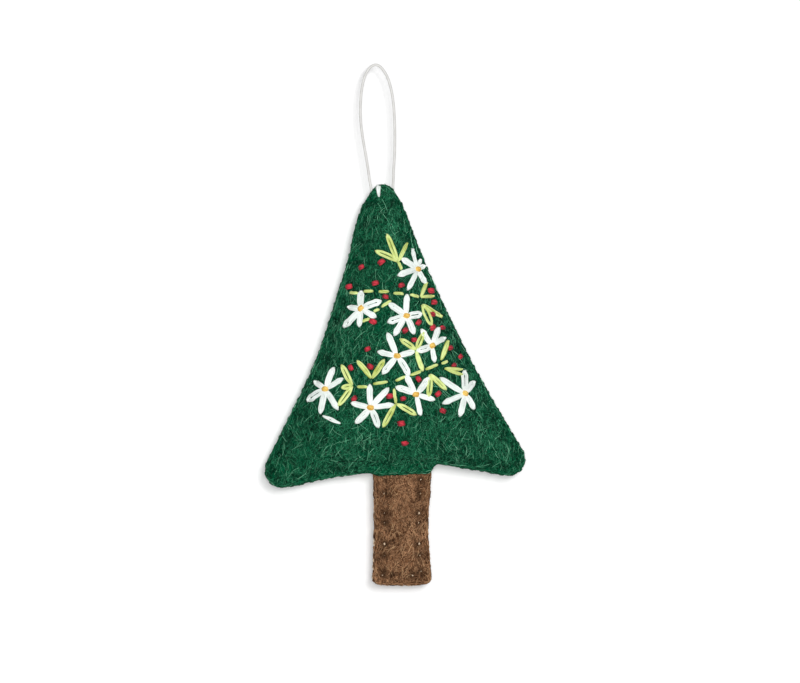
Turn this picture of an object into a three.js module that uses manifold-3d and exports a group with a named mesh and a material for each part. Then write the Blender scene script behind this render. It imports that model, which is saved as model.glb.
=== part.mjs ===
// Embroidered felt tree ornament on a cord loop. Millimetres, +Z up, the front faces -Y.
// The origin is the inside of the loop's crown, where the ornament hangs on a hook.
import * as THREE from 'three';
import { mergeVertices } from 'three/addons/utils/BufferGeometryUtils.js';
import Module from 'manifold-3d';

const wasm = await Module();
wasm.setup();

// Tree panels
const TREE_HEIGHT = 87; // tip to the lowest edge
const TREE_WIDTH = 76; // across the two base corners
const TIP_WIDTH = 10.9; // where the rounded tip runs into the sides
const TIP_HEIGHT = 5.9;
const TIP_FLAT = 5.2; // width of the crown of the tip
const SIDE_BOW = 2.4; // how far each side bows in at half height
const CORNER_HEIGHT = 7.7; // rounded base corners
const CORNER_WIDTH = 4.5;
const CORNER_INSET = 0.8; // side line, in from the widest point, where the corner starts
const BASE_RISE = 3.2; // arch of the bottom edge over the trunk
const BASE_FLAT = 20; // straight middle of that arch
const CORNER_PULL = 0.45; // how strongly the side, the foot and the arch carry on into the next curve
const FOOT_PULL = 0.3;
const ARCH_PULL = 0.4;
const FELT = 1.9;
const FULLNESS = 9; // half depth of the stuffing at its fullest
const FULLEST_DROP = 59; // from the tip down to the fullest place
const SEAM_WIDTH = 1.8; // flat sewn margin round the edge
const SWELL_RUN = 8; // from the margin to the full swell
const SWELL_POWER = 0.6; // under 1 the felt leaves the margin steeply
const STEEP_SHARE = 0.4; // steep part of that run

// Trunk
const TRUNK_WIDTH = 16.2;
const TRUNK_DROP = 34; // below the arch of the tree
const TRUNK_TUCK = 4; // sewn in between the tree panels
const TRUNK_CORNER = 2.4;
const TRUNK_FOOT_BOW = 0.8; // the foot is a little rounded
const TRUNK_OFFSET = 1.9; // sewn in beside the middle line
const TRUNK_LEAN = 2.9; // degrees, sewn in a little crooked
const TRUNK_FELT = 1.8;
const TRUNK_FULLNESS = 2.6;
const TRUNK_SEAM = 1.6;
const TRUNK_SWELL_RUN = 4.5;
const TRUNK_FILL_DROP = 9; // the filling starts this far below the arch
const MOUTH_FADE = 6; // felt beside the trunk comes together over this length

// Cord and threads
const LOOP_RISE = 35; // tip to the inside of the crown
const CORD_DIAMETER = 0.8;
const LEG_SPREAD = 6.4; // between the two legs, which end on the seam at the tip
const LEG_CLEAR = 0.45; // the tip swings under them
const TIE_DIAMETER = 1.2; // stitch that fastens the loop over the tip
const TIE_LENGTH = 3.9; // of that stitch on the front
const TIE_OFFSET = -0.8; // left of the middle line
const KNOT_DROP = 6.5; // fastening knot, below the tip at the back
const KNOT_DIAMETER = 2.8;
const KNOT_HEIGHT = 1.6;
const THREAD_DIAMETER = 0.7; // sewing thread
const THREAD_CLEAR = 0.55; // overcast thread, off the felt that it goes round
const TREE_PITCH = 6.3; // overcast stitches
const TREE_BITE = 1.8;
const TIP_CLEAR = 7; // no overcast stitch this near the middle of the tip
const TRUNK_PITCH = 5.2;
const TRUNK_BITE = 2.9;

// Embroidery
const PETAL_WIDTH = 1.8;
const LEAF_WIDTH = 1.7;
const FLOSS_HEIGHT = 0.9; // looped stitches, above the felt
const STITCH_ROOT = 0.5; // looped stitches that share a hole cross behind it
const VINE_DIAMETER = 0.85;
const VINE_RISE = 0.35; // crown of a running stitch
const BERRY_DIAMETER = 2.2;
const BERRY_HEIGHT = 1.3;
const EYE_DIAMETER = 2;
const EYE_HEIGHT = 1.1;
const STITCH_PROFILE = [[0, 0], [0.34, 0.16], [0.5, 0.64], [0.34, 0.92], [0, 1]]; // shares of width, length
const KNOT_PROFILE = [[0, 0], [0.36, 0], [0.5, 0.45], [0.3, 1], [0, 0.85]]; // shares of width, height

// Clearance between pieces that touch, and fineness of the shapes
const FIT = 0.3;
const THIN = 0.05; // half thickness of the filling at its feathered edge
const THREAD_SIDES = 4;
const VINE_SIDES = 5;
const CORD_SIDES = 8;
const LOOP_STEPS = 48;
const STITCH_SIDES = 6;
const KNOT_SIDES = 7;
const SLOPE_STEP = 0.05;
const DEEPEST_RING = 0.75; // rings measured from the edge stop at this share of the way to the spine
const SPINE_SHARES = [0.24, 0.7]; // middle line of the tree panels, from the tip

// Places on the front panel: [share of the half width there, share of the height below the tip].
// Each petal and leaf is [degrees from +X, length].
const DAISIES = [
  { at: [0.72, 0.293], petals: [[15, 1.4], [105, 4.5], [145, 5], [195, 6], [240, 6], [300, 2.8]] },
  { at: [-0.51, 0.417], petals: [[20, 5.5], [85, 4], [170, 4], [225, 6.5], [265, 5], [330, 4.5]] },
  { at: [0.29, 0.448], petals: [[5, 4], [85, 5], [140, 5], [195, 5.5], [235, 6], [290, 4]] },
  { at: [0.07, 0.581], petals: [[10, 4.5], [110, 6.5], [165, 5.5], [230, 6], [300, 5.5]] },
  { at: [0.58, 0.553], petals: [[25, 4], [65, 4.5], [120, 4], [195, 3.5], [275, 4]] },
  { at: [-0.75, 0.682], petals: [[30, 5.5], [70, 6], [140, 3], [210, 4.5], [255, 6.5], [295, 6.5]] },
  { at: [-0.24, 0.755], petals: [[5, 6], [45, 6.5], [90, 5.5], [165, 5], [225, 6], [290, 6]] },
  { at: [0.24, 0.713], petals: [[50, 5], [115, 4.5], [160, 4.5], [280, 6], [340, 4.5]] },
  { at: [0.76, 0.72], petals: [[40, 4.5], [85, 6.5], [145, 7.5], [200, 6.5], [250, 6.5], [295, 5]] },
];
const BERRIES = [
  [-0.13, 0.263], [-0.63, 0.277], [-0.27, 0.333], [-0.8, 0.338], [0.3, 0.342], [-0.06, 0.384],
  [-0.28, 0.466], [0.49, 0.474], [0.24, 0.512], [0.84, 0.492], [-0.33, 0.553],
  [0.36, 0.52], [0.83, 0.56], [0.88, 0.597], [0.79, 0.612], [-0.53, 0.613], [-0.28, 0.612],
  [0.3, 0.668], [-0.44, 0.722], [-0.05, 0.712], [0.1, 0.728], [0.5, 0.732], [0.48, 0.776],
  [0.06, 0.812], [0.08, 0.875],
];
const UPPER_GARLAND = {
  vine: [
    [[-0.79, 0.361], [-0.61, 0.364]], [[-0.51, 0.36], [-0.31, 0.36]], [[-0.2, 0.362], [0.02, 0.363]],
    [[0.11, 0.368], [0.32, 0.374]], [[0.45, 0.378], [0.63, 0.387]],
  ],
  sprigs: [{ at: [0.63, 0.387], leaves: [[60, 4], [5, 3]] }],
};
const LOWER_GARLAND = {
  vine: [
    [[-0.46, 0.673], [-0.31, 0.676]], [[-0.25, 0.668], [-0.06, 0.666]], [[0.03, 0.662], [0.13, 0.652]],
    [[0.21, 0.646], [0.37, 0.634]], [[0.43, 0.632], [0.59, 0.618]], [[0.64, 0.612], [0.72, 0.607]],
  ],
  sprigs: [
    { at: [0.34, 0.566], leaves: [[145, 4.5], [65, 4.5], [285, 6.5]] },
    { at: [0.64, 0.612], leaves: [[70, 6], [335, 6.5]] },
    { at: [0.45, 0.63], leaves: [[268, 8], [312, 7.5]] },
    { at: [-0.25, 0.668], leaves: [[122, 7], [58, 7]] },
    { at: [-0.46, 0.673], leaves: [[115, 6.5], [185, 3], [235, 7]] },
  ],
};
const TWIG = {
  vine: [[[0.05, 0.398], [-0.12, 0.416]], [[-0.18, 0.422], [-0.27, 0.429]]],
  sprigs: [],
};
const TOP_SPRIG = { vine: [], sprigs: [{ at: [0.3, 0.262], leaves: [[150, 7], [110, 8.5], [62, 5.5]] }] };
const SIDE_SPRIG = { vine: [], sprigs: [{ at: [0.63, 0.411], leaves: [[290, 6.5], [325, 7]] }] };
const BOTTOM_SPRIG = { vine: [], sprigs: [{ at: [0.02, 0.745], leaves: [[240, 7.5], [330, 6.5]] }] };

// Loop route between its two legs, measured from the tip: across and up.
const LOOP_ROUTE = [
  [-3.5, 1.3], [-3.8, 4.4], [-4.2, 8.1], [-4.7, 12], [-5.1, 15.6], [-5.3, 18.6], [-5.3, 21.8],
  [-5, 25.6], [-4.3, 29.6], [-3.3, 32.5], [-1.9, 34.6], [-0.2, LOOP_RISE + CORD_DIAMETER / 2],
  [1.3, 34.7], [2.6, 32.8], [3.6, 30.2], [4.3, 26.5], [4.6, 22.3], [4.6, 16.7], [4.4, 12.5],
  [4.1, 8.2], [3.6, 4.1], [3.4, 1.3],
];

// Finishes
const finish = (color, roughness) => new THREE.MeshStandardMaterial({ color, roughness, metalness: 0 });
const greenFelt = finish(0x185c3e, 0.95);
const brownFelt = finish(0x705238, 0.95);
const greenThread = finish(0x0f4a30, 0.8);
const brownThread = finish(0x4a2f1b, 0.8);
const fibreFill = finish(0xf2f0ea, 1);
const whiteCord = finish(0xf1efe8, 0.75);
const whiteFloss = finish(0xf6f4ec, 0.6);
const limeFloss = finish(0xb7c552, 0.6);
const yellowFloss = finish(0xdfad3e, 0.65);
const redFloss = finish(0xb01c30, 0.6);

const clamp01 = (value) => Math.min(1, Math.max(0, value));
const smooth = (value) => clamp01(value) ** 2 * (3 - 2 * clamp01(value));
const v2 = (x, y) => new THREE.Vector2(x, y);
const v3 = (x, y, z) => new THREE.Vector3(x, y, z);

// Closed solid through a row of closed rings of equally many points, each cell cut along its shorter
// diagonal. The first and last rings close on themselves, so triangles without area are dropped there.
function loft(rings) {
  const count = rings[0].length;
  const positions = [];
  const addTriangle = (a, b, c) => {
    if (a.distanceTo(b) * b.distanceTo(c) * c.distanceTo(a) > 1e-9) {
      positions.push(...a.toArray(), ...b.toArray(), ...c.toArray());
    }
  };
  for (let k = 1; k < rings.length; k += 1) {
    for (let i = 0; i < count; i += 1) {
      const next = (i + 1) % count;
      const [a, b, c, d] = [rings[k - 1][i], rings[k][i], rings[k][next], rings[k - 1][next]];
      if (a.distanceTo(c) < b.distanceTo(d)) {
        addTriangle(a, b, c);
        addTriangle(a, c, d);
      } else {
        addTriangle(a, b, d);
        addTriangle(b, c, d);
      }
    }
  }
  const geometry = new THREE.BufferGeometry();
  geometry.setAttribute('position', new THREE.Float32BufferAttribute(positions, 3));
  return mergeVertices(geometry, 1e-4);
}

// Tube of a round thread through given points, with a ring at each of them.
class ThreadPath extends THREE.Curve {
  constructor(points) {
    super();
    this.points = points;
  }
  getPoint(t) {
    const last = this.points.length - 1;
    const i = Math.min(last - 1, Math.floor(t * last + 1e-6));
    return this.points[i].clone().lerp(this.points[i + 1], t * last - i);
  }
  getPointAt(u) {
    return this.getPoint(u);
  }
  getTangentAt(u) {
    const last = this.points.length - 1;
    const i = Math.round(u * last);
    const before = this.points[Math.max(0, i - 1)];
    const after = this.points[Math.min(last, i + 1)];
    return after.clone().sub(before).normalize();
  }
}

function roundSection(radius, sides) {
  const corner = (_, i) => v2(radius, 0).rotateAround(v2(0, 0), (2 * Math.PI * i) / sides);
  return new THREE.Shape(Array.from({ length: sides }, corner));
}

function threadTube(points, diameter, sides) {
  const options = { extrudePath: new ThreadPath(points), steps: points.length - 1 };
  return new THREE.ExtrudeGeometry(roundSection(diameter / 2, sides), options);
}

// Joins overlapping solids into one.
function toManifold(geometry) {
  const bare = geometry.clone();
  bare.deleteAttribute('normal');
  bare.deleteAttribute('uv');
  const merged = mergeVertices(bare, 1e-4);
  const vertProperties = new Float32Array(merged.attributes.position.array);
  const triVerts = new Uint32Array(merged.index.array);
  return new wasm.Manifold(new wasm.Mesh({ numProp: 3, vertProperties, triVerts }));
}

function joined(geometries) {
  const solid = geometries.map(toManifold).reduce((sum, part) => sum.add(part));
  const { vertProperties, triVerts } = solid.getMesh();
  const geometry = new THREE.BufferGeometry();
  geometry.setAttribute('position', new THREE.Float32BufferAttribute(vertProperties, 3));
  geometry.setIndex(Array.from(triVerts));
  return geometry;
}

// A sewn pad seen flat: its outline, the distance from any place to that outline, and points along the edge.
class PadOutline {
  constructor(curves, counts) {
    const fine = (n) => n * 4;
    this.right = PadOutline.sample(curves, counts);
    this.fine = PadOutline.sample(curves, counts.map(fine));
    this.lengths = [0];
    for (let i = 1; i < this.fine.length; i += 1) {
      this.lengths.push(this.lengths[i - 1] + this.fine[i].distanceTo(this.fine[i - 1]));
    }
  }
  static sample(curves, counts) {
    const points = [curves[0].getPoint(0)];
    curves.forEach((curve, i) => points.push(...curve.getPoints(counts[i]).slice(1)));
    return points;
  }
  // The whole edge, clockwise from the middle of the top.
  ring() {
    const mirrored = this.right.slice(1, -1).reverse().map((p) => v2(-p.x, p.y));
    return [...this.right, ...mirrored];
  }
  distance(x, z) {
    const place = v3(Math.abs(x), z, 0);
    const near = v3();
    const side = new THREE.Line3();
    let least = Infinity;
    for (let i = 1; i < this.fine.length; i += 1) {
      side.start.set(this.fine[i - 1].x, this.fine[i - 1].y, 0);
      side.end.set(this.fine[i].x, this.fine[i].y, 0);
      side.closestPointToPoint(place, true, near);
      least = Math.min(least, near.distanceTo(place));
    }
    return least;
  }
  // Edge point and inward direction at a signed distance along the edge from the middle of the top, to the
  // right. Past the middle of the foot it goes on up the other side.
  edge(distance) {
    const half = this.lengths.at(-1);
    const run = distance > half ? distance - 2 * half : distance;
    const along = Math.min(Math.abs(run), half - 1e-6);
    const i = Math.max(1, this.lengths.findIndex((length) => length > along));
    const share = (along - this.lengths[i - 1]) / (this.lengths[i] - this.lengths[i - 1]);
    const point = this.fine[i - 1].clone().lerp(this.fine[i], share);
    const along2 = this.fine[i].clone().sub(this.fine[i - 1]).normalize();
    const inward = v2(along2.y, -along2.x);
    const side = Math.sign(run) || 1;
    return { point: v2(side * point.x, point.y), inward: v2(side * inward.x, inward.y) };
  }
  // Height of the upper edge at a distance from the middle line.
  levelAt(x) {
    const i = this.fine.findIndex((p) => p.x >= x);
    const [before, after] = [this.fine[i - 1], this.fine[i]];
    return before.clone().lerp(after, (x - before.x) / (after.x - before.x)).y;
  }
  // Distance along the edge from the middle of the top to the first place that passes the test.
  runTo(test) {
    return this.lengths[this.fine.findIndex(test)];
  }
}

// Two felt panels sewn together round their edge and swelled by a filling. `hollow` gives the half depth
// of the space between them, `spine` the middle line that the rings close on.
class Pad {
  constructor({ outline, hollow, felt, spine, edgeSteps }) {
    Object.assign(this, { outline, hollow, felt, spine, edgeSteps });
  }
  inner(x, z) {
    return FIT / 2 + this.hollow(x, z);
  }
  slope(x, z) {
    const dx = (this.hollow(x + SLOPE_STEP, z) - this.hollow(x - SLOPE_STEP, z)) / (2 * SLOPE_STEP);
    const dz = (this.hollow(x, z + SLOPE_STEP) - this.hollow(x, z - SLOPE_STEP)) / (2 * SLOPE_STEP);
    return { dx, dz };
  }
  // Outside of the felt, which keeps its thickness square to its slope.
  outer(x, z) {
    const { dx, dz } = this.slope(x, z);
    return this.inner(x, z) + this.felt * Math.hypot(1, dx, dz);
  }
  // Flat rings from a given inset to the spine.
  rings(inset) {
    const steps = this.edgeSteps.filter((step) => step >= inset);
    const places = [...steps.map((step) => [step, 0]), [steps.at(-1), 0.5], [0, 1]];
    const edge = this.outline.ring();
    return places.map(([step, share]) => edge.map((p) => {
      const foot = v2(0, Math.min(this.spine[0], Math.max(this.spine[1], p.y)));
      const reach = p.distanceTo(foot);
      const near = Math.min(step, DEEPEST_RING * reach);
      return p.clone().lerp(foot, share === 1 ? 1 : (near + share * (reach - near)) / reach);
    }));
  }
  // The flat rings raised to a height above the middle plane.
  static raised(rings, height) {
    return rings.map((ring) => ring.map((p) => v3(p.x, height(p.x, p.y), p.y)));
  }
  // side is -1 for the front panel and 1 for the back.
  panel(side) {
    const flat = this.rings(0);
    const outside = Pad.raised(flat, (x, z) => side * this.outer(x, z));
    const inside = Pad.raised(flat, (x, z) => side * this.inner(x, z));
    const rings = [...outside.reverse(), ...inside];
    return loft(side > 0 ? rings : rings.reverse());
  }
  filling(inset) {
    const half = (x, z) => Math.max(THIN, this.hollow(x, z) - FIT);
    const flat = this.rings(inset);
    const front = Pad.raised(flat, (x, z) => -half(x, z));
    const back = Pad.raised(flat, half);
    return loft([...back.reverse(), ...front]);
  }
  // One unbroken thread that goes over the edge again and again, from one signed run to another.
  overcast(from, to, pitch, bite) {
    const count = Math.max(2, Math.round(Math.abs(to - from) / pitch));
    const off = THREAD_CLEAR + THREAD_DIAMETER / 2;
    const points = [];
    const turn = (run, side) => {
      const { point, inward } = this.outline.edge(run);
      const hole = point.clone().addScaledVector(inward, bite);
      points.push(v3(hole.x, side * (this.outer(hole.x, hole.y) + off), hole.y));
    };
    const over = (run, side) => {
      const { point, inward } = this.outline.edge(run);
      const rim = this.outer(point.x, point.y);
      const out = point.clone().addScaledVector(inward, -off);
      points.push(v3(point.x, side * (rim + off), point.y), v3(out.x, side * rim, out.y));
      points.push(v3(out.x, -side * rim, out.y), v3(point.x, -side * (rim + off), point.y));
    };
    for (let i = 0; i <= count; i += 1) {
      const at = (part) => from + ((to - from) * (i + part)) / (count + 1);
      turn(at(0), -1);
      over(at(0.25), -1);
      turn(at(0.5), 1);
      over(at(0.75), 1);
    }
    return threadTube(points.slice(0, -4), THREAD_DIAMETER, THREAD_SIDES);
  }
}

// Tree: its flat shape and the swell of its stuffing
const archLevel = -(TREE_HEIGHT - BASE_RISE);
const tipEnd = v2(TIP_WIDTH / 2, -TIP_HEIGHT);
const sideEnd = v2(TREE_WIDTH / 2 - CORNER_INSET, -(TREE_HEIGHT - CORNER_HEIGHT));
const sideBend = tipEnd.clone().lerp(sideEnd, 0.5).sub(v2(2 * SIDE_BOW, 0));
const cornerEnd = v2(TREE_WIDTH / 2 - CORNER_WIDTH, -TREE_HEIGHT);
const towards = (from, to, length) => from.clone().add(to.clone().sub(from).setLength(length));

function treeOutline() {
  const tipShoulder = towards(tipEnd, sideBend, -TIP_HEIGHT / 2);
  const cornerSide = towards(sideEnd, sideBend, -CORNER_PULL * CORNER_HEIGHT);
  const cornerFoot = v2(TREE_WIDTH / 2 - CORNER_INSET / 4, -TREE_HEIGHT);
  const archEnd = v2(BASE_FLAT / 2, archLevel);
  const footBend = cornerEnd.clone().lerp(v2(archEnd.x, -TREE_HEIGHT), FOOT_PULL);
  const archBend = archEnd.clone().lerp(v2(cornerEnd.x, archLevel), ARCH_PULL);
  const curves = [
    new THREE.CubicBezierCurve(v2(0, 0), v2(TIP_FLAT / 2, 0), tipShoulder, tipEnd),
    new THREE.QuadraticBezierCurve(tipEnd, sideBend, sideEnd),
    new THREE.CubicBezierCurve(sideEnd, cornerSide, cornerFoot, cornerEnd),
    new THREE.CubicBezierCurve(cornerEnd, footBend, archBend, archEnd),
    new THREE.LineCurve(archEnd, v2(0, archLevel)),
  ];
  return new PadOutline(curves, [4, 11, 5, 5, 3]);
}

// Half width of the tree at a height, along its sides carried on past the tip and the corners.
function halfWidth(z) {
  const t = (z - tipEnd.y) / (sideEnd.y - tipEnd.y);
  return (1 - t) ** 2 * tipEnd.x + 2 * t * (1 - t) * sideBend.x + t * t * sideEnd.x;
}

const outline = treeOutline();
const trunkLean = THREE.MathUtils.degToRad(TRUNK_LEAN);
const fullest = halfWidth(-FULLEST_DROP) ** 2 * (TREE_HEIGHT - FULLEST_DROP);
const trunkReach = TRUNK_WIDTH / 2 + FIT;

// Lift of the felt over the tucked-in top of the trunk.
function mouth(x, z) {
  const beside = Math.abs(x - TRUNK_OFFSET) - trunkReach;
  const above = z - archLevel - TRUNK_TUCK - FIT;
  return (TRUNK_FELT + FIT) * (1 - smooth(beside / MOUTH_FADE)) * (1 - smooth(above / MOUTH_FADE));
}

function treeHollow(x, z) {
  const across = Math.max(0, halfWidth(z) ** 2 - x * x);
  const up = Math.max(0, z + TREE_HEIGHT);
  const rise = smooth((outline.distance(x, z) - SEAM_WIDTH) / SWELL_RUN) ** SWELL_POWER;
  return Math.hypot(FULLNESS * Math.sqrt((across * up) / fullest) * rise, mouth(x, z));
}

const stuffingInset = TRUNK_TUCK + SEAM_WIDTH;
const tree = new Pad({
  outline,
  hollow: treeHollow,
  felt: FELT,
  spine: SPINE_SHARES.map((share) => -share * TREE_HEIGHT),
  edgeSteps: [0, SEAM_WIDTH, SEAM_WIDTH + STEEP_SHARE * SWELL_RUN, stuffingInset, SEAM_WIDTH + SWELL_RUN],
});

// Trunk: flat shape with its own origin at the arch of the tree
function trunkOutline() {
  const half = TRUNK_WIDTH / 2;
  const foot = -TRUNK_DROP;
  const sideFoot = v2(half, foot + TRUNK_FOOT_BOW + TRUNK_CORNER);
  const footSide = v2(half - TRUNK_CORNER, foot + TRUNK_FOOT_BOW / 2);
  const curves = [
    new THREE.LineCurve(v2(0, TRUNK_TUCK), v2(half, TRUNK_TUCK)),
    new THREE.LineCurve(v2(half, TRUNK_TUCK), sideFoot),
    new THREE.QuadraticBezierCurve(sideFoot, v2(half, foot + TRUNK_FOOT_BOW), footSide),
    new THREE.QuadraticBezierCurve(footSide, v2(half / 2, foot), v2(0, foot)),
  ];
  return new PadOutline(curves, [3, 9, 3, 3]);
}

const trunkEdge = trunkOutline();

function trunkHollow(x, z) {
  const rise = smooth((trunkEdge.distance(x, z) - TRUNK_SEAM) / TRUNK_SWELL_RUN);
  return TRUNK_FULLNESS * rise * smooth((-FIT - z) / TRUNK_FILL_DROP);
}

const trunkInset = TRUNK_SEAM + TRUNK_SWELL_RUN / 2;
const trunk = new Pad({
  outline: trunkEdge,
  hollow: trunkHollow,
  felt: TRUNK_FELT,
  spine: [-TRUNK_FILL_DROP, -TRUNK_DROP + TRUNK_WIDTH / 2],
  edgeSteps: [0, TRUNK_SEAM, trunkInset],
});

// Embroidery on the front panel
const place = ([across, down]) => v2(across * halfWidth(-down * TREE_HEIGHT), -down * TREE_HEIGHT);
const front = (p) => v3(p.x, -tree.outer(p.x, p.y), p.y);

function frontNormal(p) {
  const dx = (tree.outer(p.x + SLOPE_STEP, p.y) - tree.outer(p.x - SLOPE_STEP, p.y)) / (2 * SLOPE_STEP);
  const dz = (tree.outer(p.x, p.y + SLOPE_STEP) - tree.outer(p.x, p.y - SLOPE_STEP)) / (2 * SLOPE_STEP);
  return v3(-dx, -1, -dz).normalize();
}

const above = (p, height) => front(p).addScaledVector(frontNormal(p), height);

// A looped stitch: narrow where it starts, full near its end, flat on the felt.
function loopedStitch(hole, [degrees, length], width) {
  const turn = THREE.MathUtils.degToRad(degrees);
  const heading = v2(Math.cos(turn), Math.sin(turn));
  const start = hole.clone().addScaledVector(heading, -STITCH_ROOT);
  const end = hole.clone().addScaledVector(heading, length);
  const middle = start.clone().lerp(end, 0.5);
  const bulge = front(middle).sub(front(start).lerp(front(end), 0.5)).length();
  const lift = FIT + FLOSS_HEIGHT / 2;
  const from = above(start, lift);
  const to = above(end, lift + 2 * bulge);
  const reach = from.distanceTo(to);
  const profile = STITCH_PROFILE.map(([r, t]) => v2(r * width, t * reach));
  const shape = new THREE.LatheGeometry(profile, STITCH_SIDES);
  shape.scale(1, 1, FLOSS_HEIGHT / width);
  const along = to.clone().sub(from).normalize();
  const side = along.clone().cross(frontNormal(middle)).normalize();
  const up = side.clone().cross(along);
  return shape.applyMatrix4(new THREE.Matrix4().makeBasis(side, along, up).setPosition(from));
}

// A wound knot: a small bun with a dimple in its crown.
function knot(base, up, diameter, height) {
  const profile = KNOT_PROFILE.map(([r, t]) => v2(r * diameter, t * height));
  const shape = new THREE.LatheGeometry(profile, KNOT_SIDES);
  const turn = new THREE.Quaternion().setFromUnitVectors(v3(0, 1, 0), up);
  return shape.applyQuaternion(turn).translate(base.x, base.y, base.z);
}

function faceKnot(at, lift, diameter, height) {
  const p = place(at);
  return knot(above(p, lift), frontNormal(p), diameter, height);
}

const daisy = ({ at, petals }) => joined(petals.map((petal) => loopedStitch(place(at), petal, PETAL_WIDTH)));

// Running stitches with their leaves, in one floss that dips to the felt between the stitches.
function garland({ vine, sprigs }) {
  const low = FIT + VINE_DIAMETER / 2;
  const route = vine.flatMap(([a, b]) => {
    const start = place(a);
    const end = place(b);
    const crown = low + VINE_RISE;
    return [above(start, low), above(start.clone().lerp(end, 0.5), crown), above(end, low)];
  });
  const tubes = route.length ? [threadTube(route, VINE_DIAMETER, VINE_SIDES)] : [];
  const sprigLeaves = ({ at, leaves }) => leaves.map((leaf) => loopedStitch(place(at), leaf, LEAF_WIDTH));
  return joined([...tubes, ...sprigs.flatMap(sprigLeaves)]);
}

// Hanging loop, and what fastens it to the tip
function hangingLoop() {
  const seat = outline.levelAt(LEG_SPREAD / 2) + LEG_CLEAR + CORD_DIAMETER / 2;
  const places = [[-LEG_SPREAD / 2, seat], ...LOOP_ROUTE, [LEG_SPREAD / 2, seat]];
  const route = new THREE.CatmullRomCurve3(places.map(([x, z]) => v3(x, 0, z)), false, 'centripetal');
  const options = { extrudePath: route, steps: LOOP_STEPS };
  return new THREE.ExtrudeGeometry(roundSection(CORD_DIAMETER / 2, CORD_SIDES), options);
}

function loopTie() {
  const off = FIT + TIE_DIAMETER / 2;
  const rim = tree.outer(0, 0);
  const onFace = (side, z) => v3(TIE_OFFSET, side * (tree.outer(TIE_OFFSET, z) + off), z);
  const over = threadTube([
    onFace(-1, -TIE_LENGTH),
    onFace(-1, -TIE_LENGTH / 2),
    onFace(-1, 0),
    v3(TIE_OFFSET, -rim, off),
    v3(TIE_OFFSET, rim, off),
    onFace(1, 0),
    onFace(1, -KNOT_DROP / 2),
    onFace(1, -KNOT_DROP),
  ], TIE_DIAMETER, VINE_SIDES);
  const knotBase = v3(TIE_OFFSET, tree.outer(TIE_OFFSET, -KNOT_DROP) + 2 * FIT, -KNOT_DROP);
  return joined([over, knot(knotBase, v3(0, 1, 0), KNOT_DIAMETER, KNOT_HEIGHT)]);
}

// Assembly
const ornament = new THREE.Group();
const treeGroup = new THREE.Group();
treeGroup.position.z = -LOOP_RISE;
const trunkGroup = new THREE.Group();
trunkGroup.position.set(TRUNK_OFFSET, 0, archLevel);
trunkGroup.rotation.y = trunkLean;
treeGroup.add(trunkGroup);
ornament.add(treeGroup);

function addPart(group, name, geometry, material) {
  const mesh = new THREE.Mesh(geometry, material);
  mesh.name = name;
  group.add(mesh);
}

addPart(treeGroup, 'hanging_loop', hangingLoop(), whiteCord);
addPart(treeGroup, 'loop_tie', loopTie(), whiteCord);
addPart(treeGroup, 'front_panel', tree.panel(-1), greenFelt);
addPart(treeGroup, 'back_panel', tree.panel(1), greenFelt);
addPart(treeGroup, 'stuffing', tree.filling(stuffingInset), fibreFill);

const mouthEnd = (side) => side * TRUNK_OFFSET + trunkReach + MOUTH_FADE;
const seamEnd = (side) => outline.runTo((p) => p.y < sideEnd.y && p.x < mouthEnd(side));
const rightSeam = tree.overcast(TIP_CLEAR, seamEnd(1), TREE_PITCH, TREE_BITE);
const leftSeam = tree.overcast(-TIP_CLEAR, -seamEnd(-1), TREE_PITCH, TREE_BITE);
addPart(treeGroup, 'right_edge_stitching', rightSeam, greenThread);
addPart(treeGroup, 'left_edge_stitching', leftSeam, greenThread);

const trunkSeamStart = trunkEdge.runTo((p) => p.y < -THREAD_DIAMETER - TREE_BITE);
addPart(trunkGroup, 'trunk_front_panel', trunk.panel(-1), brownFelt);
addPart(trunkGroup, 'trunk_back_panel', trunk.panel(1), brownFelt);
addPart(trunkGroup, 'trunk_stuffing', trunk.filling(trunkInset), fibreFill);
const trunkSeamEnd = 2 * trunkEdge.lengths.at(-1) - trunkSeamStart;
const trunkSeam = trunk.overcast(trunkSeamStart, trunkSeamEnd, TRUNK_PITCH, TRUNK_BITE);
addPart(trunkGroup, 'trunk_stitching', trunkSeam, brownThread);

DAISIES.forEach((flower, i) => {
  addPart(treeGroup, `daisy_${i + 1}`, daisy(flower), whiteFloss);
  const eye = faceKnot(flower.at, FLOSS_HEIGHT + 2 * FIT, EYE_DIAMETER, EYE_HEIGHT);
  addPart(treeGroup, `daisy_eye_${i + 1}`, eye, yellowFloss);
});
const GARLANDS = {
  upper_garland: UPPER_GARLAND,
  lower_garland: LOWER_GARLAND,
  twig: TWIG,
  top_sprig: TOP_SPRIG,
  side_sprig: SIDE_SPRIG,
  bottom_sprig: BOTTOM_SPRIG,
};
Object.entries(GARLANDS).forEach(([name, layout]) => addPart(treeGroup, name, garland(layout), limeFloss));
BERRIES.forEach((at, i) => {
  addPart(treeGroup, `berry_${i + 1}`, faceKnot(at, FIT, BERRY_DIAMETER, BERRY_HEIGHT), redFloss);
});

export default ornament;
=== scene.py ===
"""Embroidered felt tree ornament on a cord loop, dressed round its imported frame."""

import logging
import math
from abc import ABC, abstractmethod
from collections import Counter
from collections.abc import Sequence
from dataclasses import dataclass, field
from enum import Enum

import bpy
import numpy as np
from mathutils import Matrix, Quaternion, Vector, noise
from mathutils.bvhtree import BVHTree


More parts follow.
